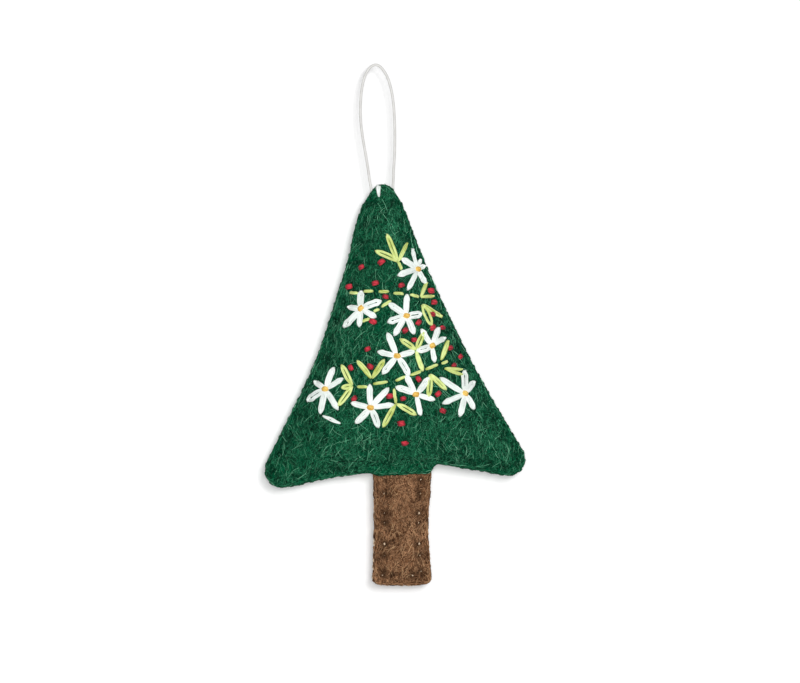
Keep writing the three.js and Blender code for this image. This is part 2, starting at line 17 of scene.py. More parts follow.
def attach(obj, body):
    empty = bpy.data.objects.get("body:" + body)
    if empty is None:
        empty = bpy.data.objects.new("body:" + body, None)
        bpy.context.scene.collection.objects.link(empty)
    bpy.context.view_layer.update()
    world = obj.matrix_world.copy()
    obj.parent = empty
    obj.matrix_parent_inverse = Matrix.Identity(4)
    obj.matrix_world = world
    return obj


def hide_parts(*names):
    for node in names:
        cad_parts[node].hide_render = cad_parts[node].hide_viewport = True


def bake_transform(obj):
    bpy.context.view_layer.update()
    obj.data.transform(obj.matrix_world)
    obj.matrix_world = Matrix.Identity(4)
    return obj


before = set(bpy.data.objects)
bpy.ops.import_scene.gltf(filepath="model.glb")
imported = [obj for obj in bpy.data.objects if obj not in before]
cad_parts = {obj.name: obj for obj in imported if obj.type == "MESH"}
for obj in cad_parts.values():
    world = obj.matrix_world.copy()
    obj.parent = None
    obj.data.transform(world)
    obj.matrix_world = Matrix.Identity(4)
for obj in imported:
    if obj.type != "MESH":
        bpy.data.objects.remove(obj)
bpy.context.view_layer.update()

LOG = logging.getLogger("ornament")
MM = 0.001
LOOP_RISE = 35.0  # tip of the tree below the inside of the loop's crown
FIT = 0.3  # clearance between the two panels of a pad
SIM_SCALE = 10.0  # the cloth solver works on pieces near a metre in size
TINY = 1e-9  # least length that a direction is divided by
TREE_BODY = "tree"

Place = tuple[float, float]
Colour = tuple[int, int, int]
Array = np.ndarray
Piece = bpy.types.Object


class Side(Enum):
    """The two faces of the ornament, with the sign of their y."""

    FRONT = -1
    BACK = 1


class Ray(Enum):
    """Outputs of the Light Path node that see the plain background."""

    CAMERA = "Is Camera Ray"
    GLOSSY = "Is Glossy Ray"
    TRANSMISSION = "Is Transmission Ray"


def smooth(value: Array | float) -> Array:
    """Returns the value clamped to 0..1 and eased at both ends."""
    held = np.clip(value, 0.0, 1.0)
    return held * held * (3.0 - 2.0 * held)


def bell(gap: Array, reach: float) -> Array:
    """Returns 1 where the gap is none, and less the wider it is."""
    return np.exp(-((gap / reach) ** 2))


def arched(share: Array, power: float) -> Array:
    """Returns 0 at both ends of shares from 0 to 1 and 1 between, the flatter the higher the power."""
    return 1 - np.abs(2 * share - 1) ** power


def unit(rows: Array) -> Array:
    """Returns the rows scaled to a length of 1."""
    return rows / np.maximum(np.linalg.norm(rows, axis=1, keepdims=True), TINY)


def runs_along(line: Array) -> Array:
    """Returns the length of a line from its start to each of its samples."""
    return np.concatenate([[0.0], np.cumsum(np.linalg.norm(np.diff(line, axis=0), axis=1))])


def bumps(points: Array, size: float, move: Sequence[float] = (0.0, 0.0, 0.0)) -> Array:
    """Returns a smooth noise at points, of that size and moved so that two noises differ."""
    return np.array([noise.noise(Vector(p) / size + Vector(move)) for p in points])


def beside_stretch(points: Array, start: Array, step: Array) -> tuple[Array, Array]:
    """Returns the share of a straight stretch that each point lies beside, and its distance."""
    share = np.clip(((points - start) @ step) / max(step @ step, TINY), 0.0, 1.0)
    return share, np.linalg.norm(points - start - share[:, None] * step, axis=1)


def linear(shade: Colour) -> tuple[float, ...]:
    """Turns a screen colour, of channels from 0 to 255, into the shader's linear colour."""
    shares = [channel / 255.0 for channel in shade]
    return (*(c / 12.92 if c <= 0.04045 else ((c + 0.055) / 1.055) ** 2.4 for c in shares), 1.0)


def bezier(points: Sequence[Place], steps: int) -> Array:
    """Samples a curve through its control points.

    Args:
        points: Control points, the first and last of which the curve meets.
        steps: Number of equal steps of its parameter.

    Returns:
        One row per sample.
    """
    t = np.linspace(0.0, 1.0, steps + 1)[:, None]
    degree = len(points) - 1
    total = np.zeros((steps + 1, len(points[0])))
    for i, point in enumerate(points):
        total += math.comb(degree, i) * t**i * (1.0 - t) ** (degree - i) * np.array(point)
    return total


def through(points: Sequence[Sequence[float]], spacing: float) -> Array:
    """Runs a smooth line through points.

    Args:
        points: Places to pass, in order.
        spacing: Distance between the samples.

    Returns:
        One row per sample, from the first place to the last.
    """
    knots = np.array(points, float)
    padded = np.vstack([2 * knots[0] - knots[1], knots, 2 * knots[-1] - knots[-2]])
    samples = [knots[:1]]
    for before, start, end, after in zip(padded, padded[1:], padded[2:], padded[3:]):
        count = max(2, int(np.linalg.norm(end - start) / spacing))
        t = np.linspace(0.0, 1.0, count + 1)[1:, None]
        curve = (
            2 * start
            + (end - before) * t
            + (2 * before - 5 * start + 4 * end - after) * t**2
            + (3 * start - before - 3 * end + after) * t**3
        )
        samples.append(curve / 2)
    return np.vstack(samples)


def frames_along(line: Array) -> tuple[Array, Array]:
    """Carries two cross directions along a line without twisting them.

    Args:
        line: Samples of the line.

    Returns:
        The two cross directions at each sample.
    """
    tangent = unit(np.gradient(line, axis=0))
    across = np.zeros_like(line)
    guess = np.array([0.31, 0.87, 0.38])  # along none of the axes
    for i, ahead in enumerate(tangent):
        guess = guess - ahead * guess.dot(ahead)
        guess /= max(np.linalg.norm(guess), TINY)
        across[i] = guess
    return across, np.cross(tangent, across)


def plied(line: Array, plies: int, offset: float, lay: float, spread: Array | float = 1.0) -> list[Array]:
    """Winds plies round a line.

    Args:
        line: Middle of the thread.
        plies: Number of plies.
        offset: Distance of a ply's middle from the line.
        lay: Length of one full turn of a ply.
        spread: Share of that distance along the line.

    Returns:
        The middle line of each ply.
    """
    across, up = frames_along(line)
    run = runs_along(line)
    routes = []
    for i in range(plies):
        turn = 2 * math.pi * (run / lay + i / plies)
        reach = np.broadcast_to(offset * np.asarray(spread, float), len(line))[:, None]
        routes.append(line + reach * (np.cos(turn)[:, None] * across + np.sin(turn)[:, None] * up))
    return routes


class Bench:
    """The modelling bench: picking, shaping and finishing through Blender's operators."""

    @staticmethod
    def pick(obj: Piece) -> None:
        """Selects one object alone and makes it active.

        Args:
            obj: The object.
        """
        bpy.ops.object.select_all(action="DESELECT")
        obj.select_set(True)
        bpy.context.view_layer.objects.active = obj

    @staticmethod
    def add(name: str, data: bpy.types.ID) -> Piece:
        """Puts a new object in the scene.

        Args:
            name: Its name.
            data: Its mesh, lamp or camera.

        Returns:
            The object.
        """
        obj = bpy.data.objects.new(name, data)
        bpy.context.scene.collection.objects.link(obj)
        return obj

    @staticmethod
    def shade_smooth(obj: Piece) -> None:
        """Shades a mesh as one smooth surface."""
        Bench.pick(obj)
        bpy.ops.object.shade_smooth()

    @staticmethod
    def weld(obj: Piece, gap: float) -> None:
        """Merges the vertices of a mesh that lie together.

        Args:
            obj: The mesh.
            gap: Most that they lie apart, in metres.
        """
        Bench.pick(obj)
        bpy.ops.object.mode_set(mode="EDIT")
        bpy.ops.mesh.select_all(action="SELECT")
        bpy.ops.mesh.remove_doubles(threshold=gap)
        bpy.ops.object.mode_set(mode="OBJECT")

    @staticmethod
    def read(items: bpy.types.bpy_prop_collection, key: str, width: int, kind: type) -> Array:
        """Reads one property of all items of a mesh.

        Args:
            items: The items.
            key: Name of the property.
            width: How many values an item has.
            kind: Type of a value.

        Returns:
            The values, one row for each item.
        """
        values = np.zeros(len(items) * width, kind)
        items.foreach_get(key, values)
        return values.reshape(-1, width)

    @staticmethod
    def carry(obj: Piece, name: str, values: Array) -> None:
        """Lets each vertex of a mesh carry a value that its material reads by that name."""
        layer = obj.data.attributes.get(name) or obj.data.attributes.new(name, "FLOAT", "POINT")
        layer.data.foreach_set("value", values.astype(np.float32))

    @staticmethod
    def carried(obj: Piece, name: str) -> Array:
        """Returns the values that the vertices of a mesh carry."""
        return Bench.read(obj.data.attributes[name].data, "value", 1, np.float32)[:, 0]

    @staticmethod
    def finish(obj: Piece, kind: str, **settings: object) -> None:
        """Adds one modifier and applies it.

        Args:
            obj: Object to work on.
            kind: Type of the modifier.
            **settings: Its settings.
        """
        Bench.pick(obj)
        bpy.ops.object.modifier_add(type=kind)
        modifier = obj.modifiers[-1]
        for name, value in settings.items():
            setattr(modifier, name, value)
        bpy.ops.object.modifier_apply(modifier=modifier.name)

    @staticmethod
    def points(obj: Piece) -> Array:
        """Returns the vertices of a mesh, one row each."""
        return Bench.read(obj.data.vertices, "co", 3, np.float32).astype(float)

    @staticmethod
    def normals(obj: Piece) -> Array:
        """Returns the vertex normals of a mesh, one row each."""
        return Bench.read(obj.data.vertex_normals, "vector", 3, np.float32).astype(float)

    @staticmethod
    def move(obj: Piece, points: Array) -> None:
        """Puts the vertices of a mesh at these points."""
        obj.data.vertices.foreach_set("co", points.astype(np.float32).ravel())
        obj.data.update()

    @staticmethod
    def edges(obj: Piece) -> Array:
        """Returns the two vertices of each edge of a mesh."""
        return Bench.read(obj.data.edges, "vertices", 2, np.int32)

    @staticmethod
    def drop_faces(obj: Piece, chosen: Array) -> None:
        """Deletes the chosen faces of a mesh, with what only they use.

        Args:
            obj: The mesh.
            chosen: Tells for each face whether it goes.
        """
        Bench.pick(obj)
        bpy.ops.object.mode_set(mode="EDIT")
        bpy.ops.mesh.select_mode(type="FACE")
        bpy.ops.mesh.select_all(action="DESELECT")
        bpy.ops.object.mode_set(mode="OBJECT")
        obj.data.polygons.foreach_set("select", chosen)
        bpy.ops.object.mode_set(mode="EDIT")
        bpy.ops.mesh.delete(type="FACE")
        bpy.ops.object.mode_set(mode="OBJECT")

    @staticmethod
    def strands(name: str, routes: Sequence[Array], radius: float, roundness: int = 1) -> Piece:
        """Makes round strands along routes, as one mesh.

        Args:
            name: Name of the piece.
            routes: Middle line of each strand, in metres in the row frame.
            radius: Radius of a strand in metres.
            roundness: Bevel resolution of a strand.

        Returns:
            The piece.
        """
        bpy.ops.curve.primitive_nurbs_path_add()
        obj = bpy.context.object
        obj.name = obj.data.name = name
        curve = obj.data
        curve.splines.clear()
        for route in routes:
            spline = curve.splines.new("POLY")
            spline.points.add(len(route) - 1)
            spline.points.foreach_set("co", np.column_stack([route, np.ones(len(route))]).ravel())
        curve.bevel_depth = radius
        curve.bevel_resolution = roundness
        curve.use_fill_caps = True
        Bench.pick(obj)
        bpy.ops.object.convert(target="MESH")
        bpy.ops.object.shade_smooth()
        obj = bpy.context.object
        Bench.weld(obj, 1e-7)
        Bench.tone_strands(obj)
        return obj

    @staticmethod
    def tone_strands(obj: Piece) -> None:
        """Gives each separate strand of a mesh a tone of its own.

        Args:
            obj: The mesh.
        """
        near, far = Bench.edges(obj).T
        label = np.arange(len(obj.data.vertices))
        settled = False
        while not settled:
            before = label.copy()
            least = np.minimum(label[near], label[far])
            np.minimum.at(label, near, least)
            np.minimum.at(label, far, least)
            label = label[label]
            settled = bool((label == before).all())
        names, which = np.unique(label, return_inverse=True)
        Bench.carry(obj, "tone", np.random.default_rng(len(label)).random(len(names))[which])


class Wire:
    """A shader socket that takes part in Python arithmetic."""

    def __init__(self, graph: "Graph", socket: bpy.types.NodeSocket) -> None:
        """Wraps one output socket of a graph."""
        self.graph = graph
        self.socket = socket

    def __add__(self, other: "Wire | float") -> "Wire":
        """Returns the sum."""
        return self.graph.math("ADD", self, other)

    __radd__ = __add__

    def __mul__(self, other: "Wire | float") -> "Wire":
        """Returns the product."""
        return self.graph.math("MULTIPLY", self, other)

    __rmul__ = __mul__

    def __sub__(self, other: "Wire | float") -> "Wire":
        """Returns the difference."""
        return self.graph.math("SUBTRACT", self, other)

    def __rsub__(self, other: float) -> "Wire":
        """Returns the difference from a number."""
        return self.graph.math("SUBTRACT", other, self)

    def __abs__(self) -> "Wire":
        """Returns the size without its sign."""
        return self.graph.math("ABSOLUTE", self)

    def ramp(self, low: float, high: float) -> "Wire":
        """Returns 0 at low, 1 at high and an even way between."""
        settings = {"interpolation_type": "SMOOTHSTEP"}
        return self.graph.node("ShaderNodeMapRange", settings, {0: self, 1: low, 2: high})


class Graph:
    """The node graph of one material or of the world."""

    MIX_SHARE, MIX_LOW, MIX_HIGH, MIX_OUT = 0, 6, 7, 2  # a Mix node's sockets on colours

    def __init__(self, holder: bpy.types.Material | bpy.types.World) -> None:
        """Starts an empty graph.

        Args:
            holder: Material or world that it belongs to.
        """
        self.holder = holder
        holder.use_nodes = True
        self.tree = holder.node_tree
        self.tree.nodes.clear()

    def node(self, kind: str, settings: dict[str, object] | None = None,
             inputs: dict[str | int, object] | None = None, out: str | int = 0) -> Wire:
        """Adds a node.

        Args:
            kind: Node type.
            settings: Properties that are set first.
            inputs: Values or wires, by socket.
            out: Output socket to return.

        Returns:
            That output.
        """
        made = self.tree.nodes.new(kind)
        for name, value in (settings or {}).items():
            setattr(made, name, value)
        for key, value in (inputs or {}).items():
            if isinstance(value, Wire):
                self.tree.links.new(value.socket, made.inputs[key])
            else:
                made.inputs[key].default_value = value
        return Wire(self, made.outputs[out]) if len(made.outputs) else Wire(self, None)

    def math(self, operation: str, a: Wire | float, b: Wire | float | None = None) -> Wire:
        """Adds a Math node on one or two values."""
        inputs = {0: a} if b is None else {0: a, 1: b}
        return self.node("ShaderNodeMath", {"operation": operation}, inputs)

    def mix(self, share: Wire, low: object, high: object) -> Wire:
        """Mixes two colours by a share."""
        inputs = {self.MIX_SHARE: share, self.MIX_LOW: low, self.MIX_HIGH: high}
        return self.node("ShaderNodeMix", {"data_type": "RGBA"}, inputs, self.MIX_OUT)

    def clouds(self, scale: float, detail: float = 2.0, distortion: float = 0.0, move: float = 0.0) -> Wire:
        """Adds a noise on Object coordinates.

        Args:
            scale: Features per metre.
            detail: Octaves.
            distortion: How far it is warped.
            move: Shift of the coordinates, so that two noises differ.

        Returns:
            Its value from 0 to 1.
        """
        where = self.node("ShaderNodeTexCoord", out="Object")
        moved = self.node("ShaderNodeMapping", inputs={"Vector": where, "Location": (move, move, move)})
        inputs = {"Vector": moved, "Scale": scale, "Detail": detail, "Distortion": distortion}
        return self.node("ShaderNodeTexNoise", inputs=inputs)

    def attribute(self, name: str) -> Wire:
        """Reads a value that the mesh carries."""
        return self.node("ShaderNodeAttribute", {"attribute_name": name}, out="Fac")

    def surface(self, **sockets: object) -> bpy.types.Material:
        """Ends the graph in a plain surface.

        Args:
            **sockets: Values or wires of the surface shader, by socket name with _ for a space.

        Returns:
            The material.
        """
        inputs = {name.replace("_", " "): value for name, value in sockets.items()}
        shader = self.node("ShaderNodeBsdfPrincipled", inputs=inputs)
        self.node("ShaderNodeOutputMaterial", inputs={"Surface": shader})
        return self.holder


class Finish(ABC):
    """A finish that dresses pieces, made into a material once."""

    name: str

    @abstractmethod
    def material(self) -> bpy.types.Material:
        """Makes the material."""

    def dress(self, obj: Piece, slot: str) -> None:
        """Gives a piece this finish.

        Args:
            obj: The piece.
            slot: The record's slot; not used.
        """
        made = bpy.data.materials.get(self.name) or self.material()
        obj.data.materials.clear()
        obj.data.materials.append(made)

    def hand_over(self, obj: Piece, slot: str, node: str | None = None) -> Piece:
        """Dresses a finished piece and lets it ride on the tree.

        Args:
            obj: The piece.
            slot: The record's slot; not used.
            node: Solid that it stands for, if it has one.

        Returns:
            The piece.
        """
        self.dress(obj, slot)
        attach(obj, TREE_BODY)
        if node:
            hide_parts(node)
        LOG.info("%s: %d faces", obj.name, len(obj.data.polygons))
        return obj


@dataclass(frozen=True)
class WoolFelt(Finish):
    """Pressed wool: curled fibres of several tones over darker hollows, darkened partly as painted shade,
    with painted shade in its dents.
    """

    name: str
    deep: Colour
    middle: Colour
    light: Colour
    curl: float = 420.0  # fibre curls per metre
    nap: float = 0.00022  # height of the fibres in metres
    bloom: float = 0.35  # how far the fibres lighten what is seen aslant

    LEVELS = 9.0  # lines of fibre over the range of a noise

    def fibres(self, graph: Graph, scale: float, move: float, width: float) -> Wire:
        """Returns the thin curled lines between the levels of a noise."""
        level = graph.clouds(scale, 1.5, 0.8, move) * self.LEVELS
        return 1.0 - abs(graph.math("FRACT", level) - 0.5).ramp(0.0, width)

    def material(self) -> bpy.types.Material:
        """Makes the felt's material, with painted shade in its hollows and dents.

        Returns:
            The material.
        """
        graph = Graph(bpy.data.materials.new(self.name))
        deep, middle, light = (linear(shade) for shade in (self.deep, self.middle, self.light))
        patches = graph.clouds(110.0, 3.0).ramp(0.3, 0.7)
        hollows = graph.clouds(1500.0, 3.0, 0.6, 0.3).ramp(0.42, 0.58)
        coarse = graph.clouds(700.0, 1.0, 0.0, 0.7).ramp(0.45, 0.6)
        coarse = coarse * self.fibres(graph, self.curl, 0.0, 0.2)
        fine = graph.clouds(1300.0, 1.0, 0.0, 0.2).ramp(0.42, 0.6)
        fine = fine * self.fibres(graph, self.curl * 1.8, 1.3, 0.24)
        # the felt's own patches of tone, and painted shade where the fine noise lowers the bump into hollows
        colour = graph.mix(patches * 0.4 + hollows * 0.6, deep, middle)
        colour = graph.mix(fine * 0.4, colour, light)
        colour = graph.mix(coarse * 0.6, colour, light)
        # painted shade: the felt is mixed towards its deep colour in its dents, needle holes and thread
        # pulls
        colour = graph.mix(graph.attribute("dent") * 0.9, colour, deep)
        relief = coarse + fine * 0.7 + hollows * 0.8
        inputs = {"Height": relief, "Strength": 0.8, "Distance": self.nap}
        bump = graph.node("ShaderNodeBump", inputs=inputs)
        return graph.surface(Base_Color=colour, Roughness=1.0, Normal=bump, Specular_IOR_Level=0.02,
                             Sheen_Weight=self.bloom, Sheen_Roughness=0.6, Sheen_Tint=light)


@dataclass(frozen=True)
class LooseWool(Finish):
    """Single wool fibres that stand off the felt, each of its own tone, darkened as painted shade where the
    felt is dented.
    """

    name: str
    deep: Colour
    light: Colour

    def material(self) -> bpy.types.Material:
        """Makes the fibres' material, on the tone and painted shade that each fibre carries.

        Returns:
            The material.
        """
        graph = Graph(bpy.data.materials.new(self.name))
        light = linear(self.light)
        # each fibre's own tone, darkened as painted shade in the felt's dents
        colour = graph.mix(graph.attribute("tone"), linear(self.deep), light)
        return graph.surface(Base_Color=colour, Roughness=0.9, Specular_IOR_Level=0.06,
                             Sheen_Weight=0.08, Sheen_Roughness=0.6, Sheen_Tint=light)


@dataclass(frozen=True)
class Floss(Finish):
    """Stranded cotton: a soft shine and a slight change of tone along it; on knots the value it carries also
    holds painted shade below and a painted highlight on top.
    """

    name: str
    shade: Colour
    tint: Colour
    roughness: float = 0.55
    sheen: float = 0.08

    GRAIN = 0.00005  # height of its grain in metres

    def material(self) -> bpy.types.Material:
        """Makes the floss's material.

        Returns:
            The material.
        """
        graph = Graph(bpy.data.materials.new(self.name))
        # random tone of the floss and of each strand, and on knots painted shade and highlight
        tone = graph.clouds(420.0, 2.0).ramp(0.3, 0.6) * 0.4 + graph.attribute("tone") * 0.6
        colour = graph.mix(tone, linear(self.shade), linear(self.tint))
        grain = graph.clouds(5200.0, 2.0, 0.5, 0.4)
        inputs = {"Height": grain, "Strength": 0.25, "Distance": self.GRAIN}
        bump = graph.node("ShaderNodeBump", inputs=inputs)
        return graph.surface(Base_Color=colour, Roughness=self.roughness, Normal=bump,
                             Specular_IOR_Level=0.3, Sheen_Weight=self.sheen)


GREEN_FELT = WoolFelt("green_wool_felt", (0, 22, 11), (0, 84, 52), (44, 138, 100))
BROWN_FELT = WoolFelt("brown_wool_felt", (42, 21, 9), (132, 92, 63), (192, 154, 118))
GREEN_WOOL = LooseWool("green_loose_wool", (0, 6, 3), (62, 148, 108))
# the long hairs: a paler copy of the loose wool, partly the wool's own paler fibres and partly painted
# highlight where they catch the light
GREEN_HAIR = LooseWool("pale_highlit_green_hair", (28, 110, 74), (138, 212, 172))
BROWN_WOOL = LooseWool("brown_loose_wool", (44, 18, 6), (205, 156, 116))
# paler copy of the brown loose wool for the long hairs, partly painted highlight where they catch the light
BROWN_HAIR = LooseWool("pale_highlit_brown_hair", (132, 92, 62), (222, 182, 138))
WHITE_FLOSS = Floss("white_cotton_floss", (224, 233, 227), (250, 255, 252))
LIME_FLOSS = Floss("lime_cotton_floss", (168, 182, 72), (234, 248, 172))
YELLOW_FLOSS = Floss("yellow_cotton_floss", (208, 152, 44), (250, 218, 122))
RED_FLOSS = Floss("red_cotton_floss", (72, 0, 8), (222, 52, 70), 0.5)
GREEN_THREAD = Floss("green_sewing_thread", (4, 58, 37), (20, 98, 66), 0.7)
# the thread's pale colour is partly painted glint, so that the bits showing at its holes read as bright
# specks
BROWN_THREAD = Floss("brown_sewing_thread", (150, 116, 84), (236, 212, 182), 0.5)
WHITE_CORD = Floss("white_waxed_cord", (204, 203, 200), (226, 225, 222), 0.6, 0.5)
FIBRE_FILL = Floss("white_fibre_fill", (222, 220, 214), (244, 243, 240), 0.95)


class Cut(ABC):
    """Flat cut of a pair of felt panels and its swell, in millimetres from its own top."""

    felt: float
    seam: float

    EASE = 0.35  # felt left outside the cut, which rounds off
    PRESS = 0.45  # how far the stitches press the two edges together
    OPEN = 1.5  # half depth past which they no longer do
    LOOK = 0.4  # the edge's direction is taken this far to both sides
    STEP = 0.05  # and the swell's slope this far

    @abstractmethod
    def curves(self) -> list[Array]:
        """Returns the right half of the outline, from the middle of the top to the middle of the foot."""

    @abstractmethod
    def hollow(self, x: Array, z: Array) -> Array:
        """Returns the half depth of the filling at these places."""

    @abstractmethod
    def in_frame(self, points: Array) -> Array:
        """Returns points of the cut as metres in the row frame."""

    def settle(self, place: Array) -> Array:
        """Returns how far the sewn edge sits from the flat cut's edge, across and in height."""
        return np.zeros_like(place)

    def __post_init__(self) -> None:
        """Measures the outline."""
        self.right = np.vstack([c if i == 0 else c[1:] for i, c in enumerate(self.curves())])
        self.runs = runs_along(self.right)
        self.half_run = float(self.runs[-1])
        self.ring = np.vstack([self.right, (self.right * (-1.0, 1.0))[-2:0:-1]])
        self.ring_run = np.concatenate([self.runs, 2 * self.half_run - self.runs[-2:0:-1]])

    def distance(self, x: Array, z: Array) -> Array:
        """Measures how far places lie from the outline.

        Args:
            x, z: Where they are, across and in height.

        Returns:
            The distances.
        """
        points = np.column_stack([np.abs(x), z])
        least = np.full(len(points), np.inf)
        for start, step in zip(self.right, np.diff(self.right, axis=0)):
            least = np.minimum(least, beside_stretch(points, start, step)[1])
        return least

    def inside(self, x: Array, z: Array) -> Array:
        """Tells which places lie within the outline.

        Args:
            x, z: Where they are, across and in height.

        Returns:
            True for each place within.
        """
        found = np.zeros(len(x), bool)
        for (ax, az), (bx, bz) in zip(self.ring, np.roll(self.ring, -1, axis=0)):
            if az != bz:
                crossing = (az > z) != (bz > z)
                found ^= crossing & (x < ax + (z - az) / (bz - az) * (bx - ax))
        return found

    def edge(self, run: Array) -> tuple[Array, Array]:
        """Finds places along the edge.

        Args:
            run: Distances from the middle of the top, to the right, or negative to the left.

        Returns:
            The places and their inward directions.
        """
        full = 2 * self.half_run
        closed_run = np.append(self.ring_run, full)
        closed = np.vstack([self.ring, self.ring[:1]])

        def at(runs: Array) -> Array:
            """Returns the places at these runs."""
            wrapped = np.mod(runs, full)
            return np.column_stack([np.interp(wrapped, closed_run, closed[:, k]) for k in (0, 1)])

        middle = np.mod(np.atleast_1d(run), full)
        ahead = unit(at(middle + self.LOOK) - at(middle - self.LOOK))
        return at(middle), np.column_stack([ahead[:, 1], -ahead[:, 0]])

    def sewn_edge(self, run: Array) -> tuple[Array, Array]:
        """Finds places along the edge as it is sewn, and their inward directions."""
        place, inward = self.edge(run)
        return place + self.settle(place), inward

    def unsettled(self, place: Array) -> Array:
        """Returns where places lay across and in height before the edge settled."""
        return (place - self.settle(place)).T

    def pressed(self, place: Array) -> Array:
        """Tells how far the stitches press the felt towards the other panel.

        Args:
            place: Flat places.

        Returns:
            The distances.
        """
        x, z = self.unsettled(place)
        beside = 1 - smooth(self.distance(x, z) / (2 * self.seam))
        return self.PRESS * beside * (1 - smooth(self.hollow(x, z) / self.OPEN))

    def slope(self, x: Array, z: Array) -> Array:
        """Tells how much longer the felt is than its flat cut.

        Args:
            x, z: Where the places are, across and in height.

        Returns:
            The shares of the flat length.
        """
        step = self.STEP
        dx = (self.hollow(x + step, z) - self.hollow(x - step, z)) / (2 * step)
        dz = (self.hollow(x, z + step) - self.hollow(x, z - step)) / (2 * step)
        return np.sqrt(1.0 + dx * dx + dz * dz)


@dataclass(frozen=True)
class Bend:
    """A bend of a sewn edge: its middle, its reach to both sides and how far it moves the edge."""

    middle: float
    reach: float
    size: float

    def at(self, place: Array) -> Array:
        """Returns the move at places along the edge."""
        return self.size * bell(place - self.middle, self.reach)


@dataclass
class TreeCut(Cut):
    """The tree: a rounded tip, sides that bow in, soft corners and an arched foot."""

    height: float = 87.0
    width: float = 76.0
    tip_width: float = 10.9
    tip_height: float = 5.9
    tip_flat: float = 5.2
    side_bow: float = 2.4
    corner_height: float = 7.7
    corner_width: float = 4.5
    corner_inset: float = 0.8
    corner_pull: float = 0.45
    foot_pull: float = 0.3
    arch_pull: float = 0.4
    base_rise: float = 3.2
    base_flat: float = 20.0
    felt: float = 1.9
    seam: float = 1.8
    fullness: float = 9.0
    fullest_drop: float = 59.0
    swell_run: float = 8.0
    swell_power: float = 0.6
    mouth_lift: float = 2.1
    mouth_middle: float = 1.9
    mouth_reach: float = 8.4
    mouth_tuck: float = 4.3
    mouth_fade: float = 6.0
    mouth_close: float = 2.4  # beside the trunk the panels meet again within this
    near_arch: Bend = Bend(13.0, 6.0, 1.5)  # of the foot to the right of the trunk
    far_arch: Bend = Bend(25.0, 6.0, 0.75)
    foot_sag: Bend = Bend(-13.0, 7.0, 0.5)  # to the left of it
    lip: float = 1.3
    lip_fade: float = 1.1
    lip_middle: float = 1.9
    lip_reach: float = 8.2
    foot_lift: float = 0.4
    foot_fade: float = 3.0
    shoulder: Bend = Bend(-12.0, 7.0, 0.7)  # the left side stands out below the tip
    dip: Bend = Bend(-51.0, 12.0, 0.9)  # and is drawn in lower down
    tip_draw: Bend = Bend(-3.2, 1.9, 0.6)  # the stitches draw the tip in

    def __post_init__(self) -> None:
        """Sets out the named points of the outline."""
        self.arch = -(self.height - self.base_rise)
        self.tip_end = np.array([self.tip_width / 2, -self.tip_height])
        self.side_end = np.array([self.width / 2 - self.corner_inset, -(self.height - self.corner_height)])
        self.bend = (self.tip_end + self.side_end) / 2 - (2 * self.side_bow, 0.0)
        super().__post_init__()

    def curves(self) -> list[Array]:
        """Sets out the tip, side, corner, foot and arch of the right half.

        Returns:
            The curves in that order.
        """
        def beyond(start: Array, back: Array, length: float) -> Array:
            """Returns the point that lies that far behind start."""
            return start - (back - start) / np.linalg.norm(back - start) * length

        shoulder = beyond(self.tip_end, self.bend, self.tip_height / 2)
        corner_side = beyond(self.side_end, self.bend, self.corner_pull * self.corner_height)
        corner_foot = np.array([self.width / 2 - self.corner_inset / 4, -self.height])
        corner_end = np.array([self.width / 2 - self.corner_width, -self.height])
        arch_end = np.array([self.base_flat / 2, self.arch])
        foot_bend = corner_end + (np.array([arch_end[0], -self.height]) - corner_end) * self.foot_pull
        arch_bend = arch_end + (np.array([corner_end[0], self.arch]) - arch_end) * self.arch_pull
        return [
            bezier([(0.0, 0.0), (self.tip_flat / 2, 0.0), shoulder, self.tip_end], 16),
            bezier([self.tip_end, self.bend, self.side_end], 44),
            bezier([self.side_end, corner_side, corner_foot, corner_end], 20),
            bezier([corner_end, foot_bend, arch_bend, arch_end], 20),
            bezier([arch_end, (0.0, self.arch)], 8),
        ]

    def half_width(self, z: Array | float) -> Array:
        """Returns the half width of the tree at a height, along its sides carried on."""
        t = (np.asarray(z) - self.tip_end[1]) / (self.side_end[1] - self.tip_end[1])
        return (1 - t) ** 2 * self.tip_end[0] + 2 * t * (1 - t) * self.bend[0] + t * t * self.side_end[0]

    def place(self, across: float, down: float) -> Array:
        """Returns the flat place at shares of the half width and of the height."""
        z = -down * self.height
        return np.array([across * float(self.half_width(z)), z])

    def hollow(self, x: Array, z: Array) -> Array:
        """Swells the tree, and lifts it over the trunk's top.

        Args:
            x, z: Where the places are, across and in height.

        Returns:
            The half depth of the filling.
        """
        fullest = float(self.half_width(-self.fullest_drop)) ** 2 * (self.height - self.fullest_drop)
        across = np.maximum(0.0, self.half_width(z) ** 2 - x * x)
        up = np.maximum(0.0, z + self.height)
        rise = smooth((self.distance(x, z) - self.seam) / self.swell_run) ** self.swell_power
        swell = self.fullness * np.sqrt(across * up / fullest) * rise
        beside = (np.abs(x - self.mouth_middle) - self.mouth_reach) / self.mouth_close
        above = (z - self.arch - self.mouth_tuck) / self.mouth_fade
        return np.hypot(swell, self.mouth_lift * (1 - smooth(beside)) * (1 - smooth(above)))

    def settle(self, place: Array) -> Array:
        """Bends the arches of the foot, its lip over the trunk and the left side.

        Args:
            place: Flat places.

        Returns:
            How far each moves, across and in height.
        """
        x, z = place.T
        foot = smooth((self.side_end[1] - z) / self.foot_fade)
        over = 1 - smooth((np.abs(x - self.lip_middle) - self.lip_reach) / self.lip_fade)
        arches = self.near_arch.at(x) + self.far_arch.at(x) - self.foot_sag.at(x)
        height = arches * (1 - over) - self.lip * over + self.foot_lift
        left = (x < 0) * (1 - foot)
        across = left * (self.dip.at(z) - self.shoulder.at(z)) - np.sign(x) * self.tip_draw.at(z)
        return np.column_stack([across, foot * height])

    def in_frame(self, points: Array) -> Array:
        """Returns points of the tree as metres in the row frame."""
        return (points - (0.0, 0.0, LOOP_RISE)) * MM


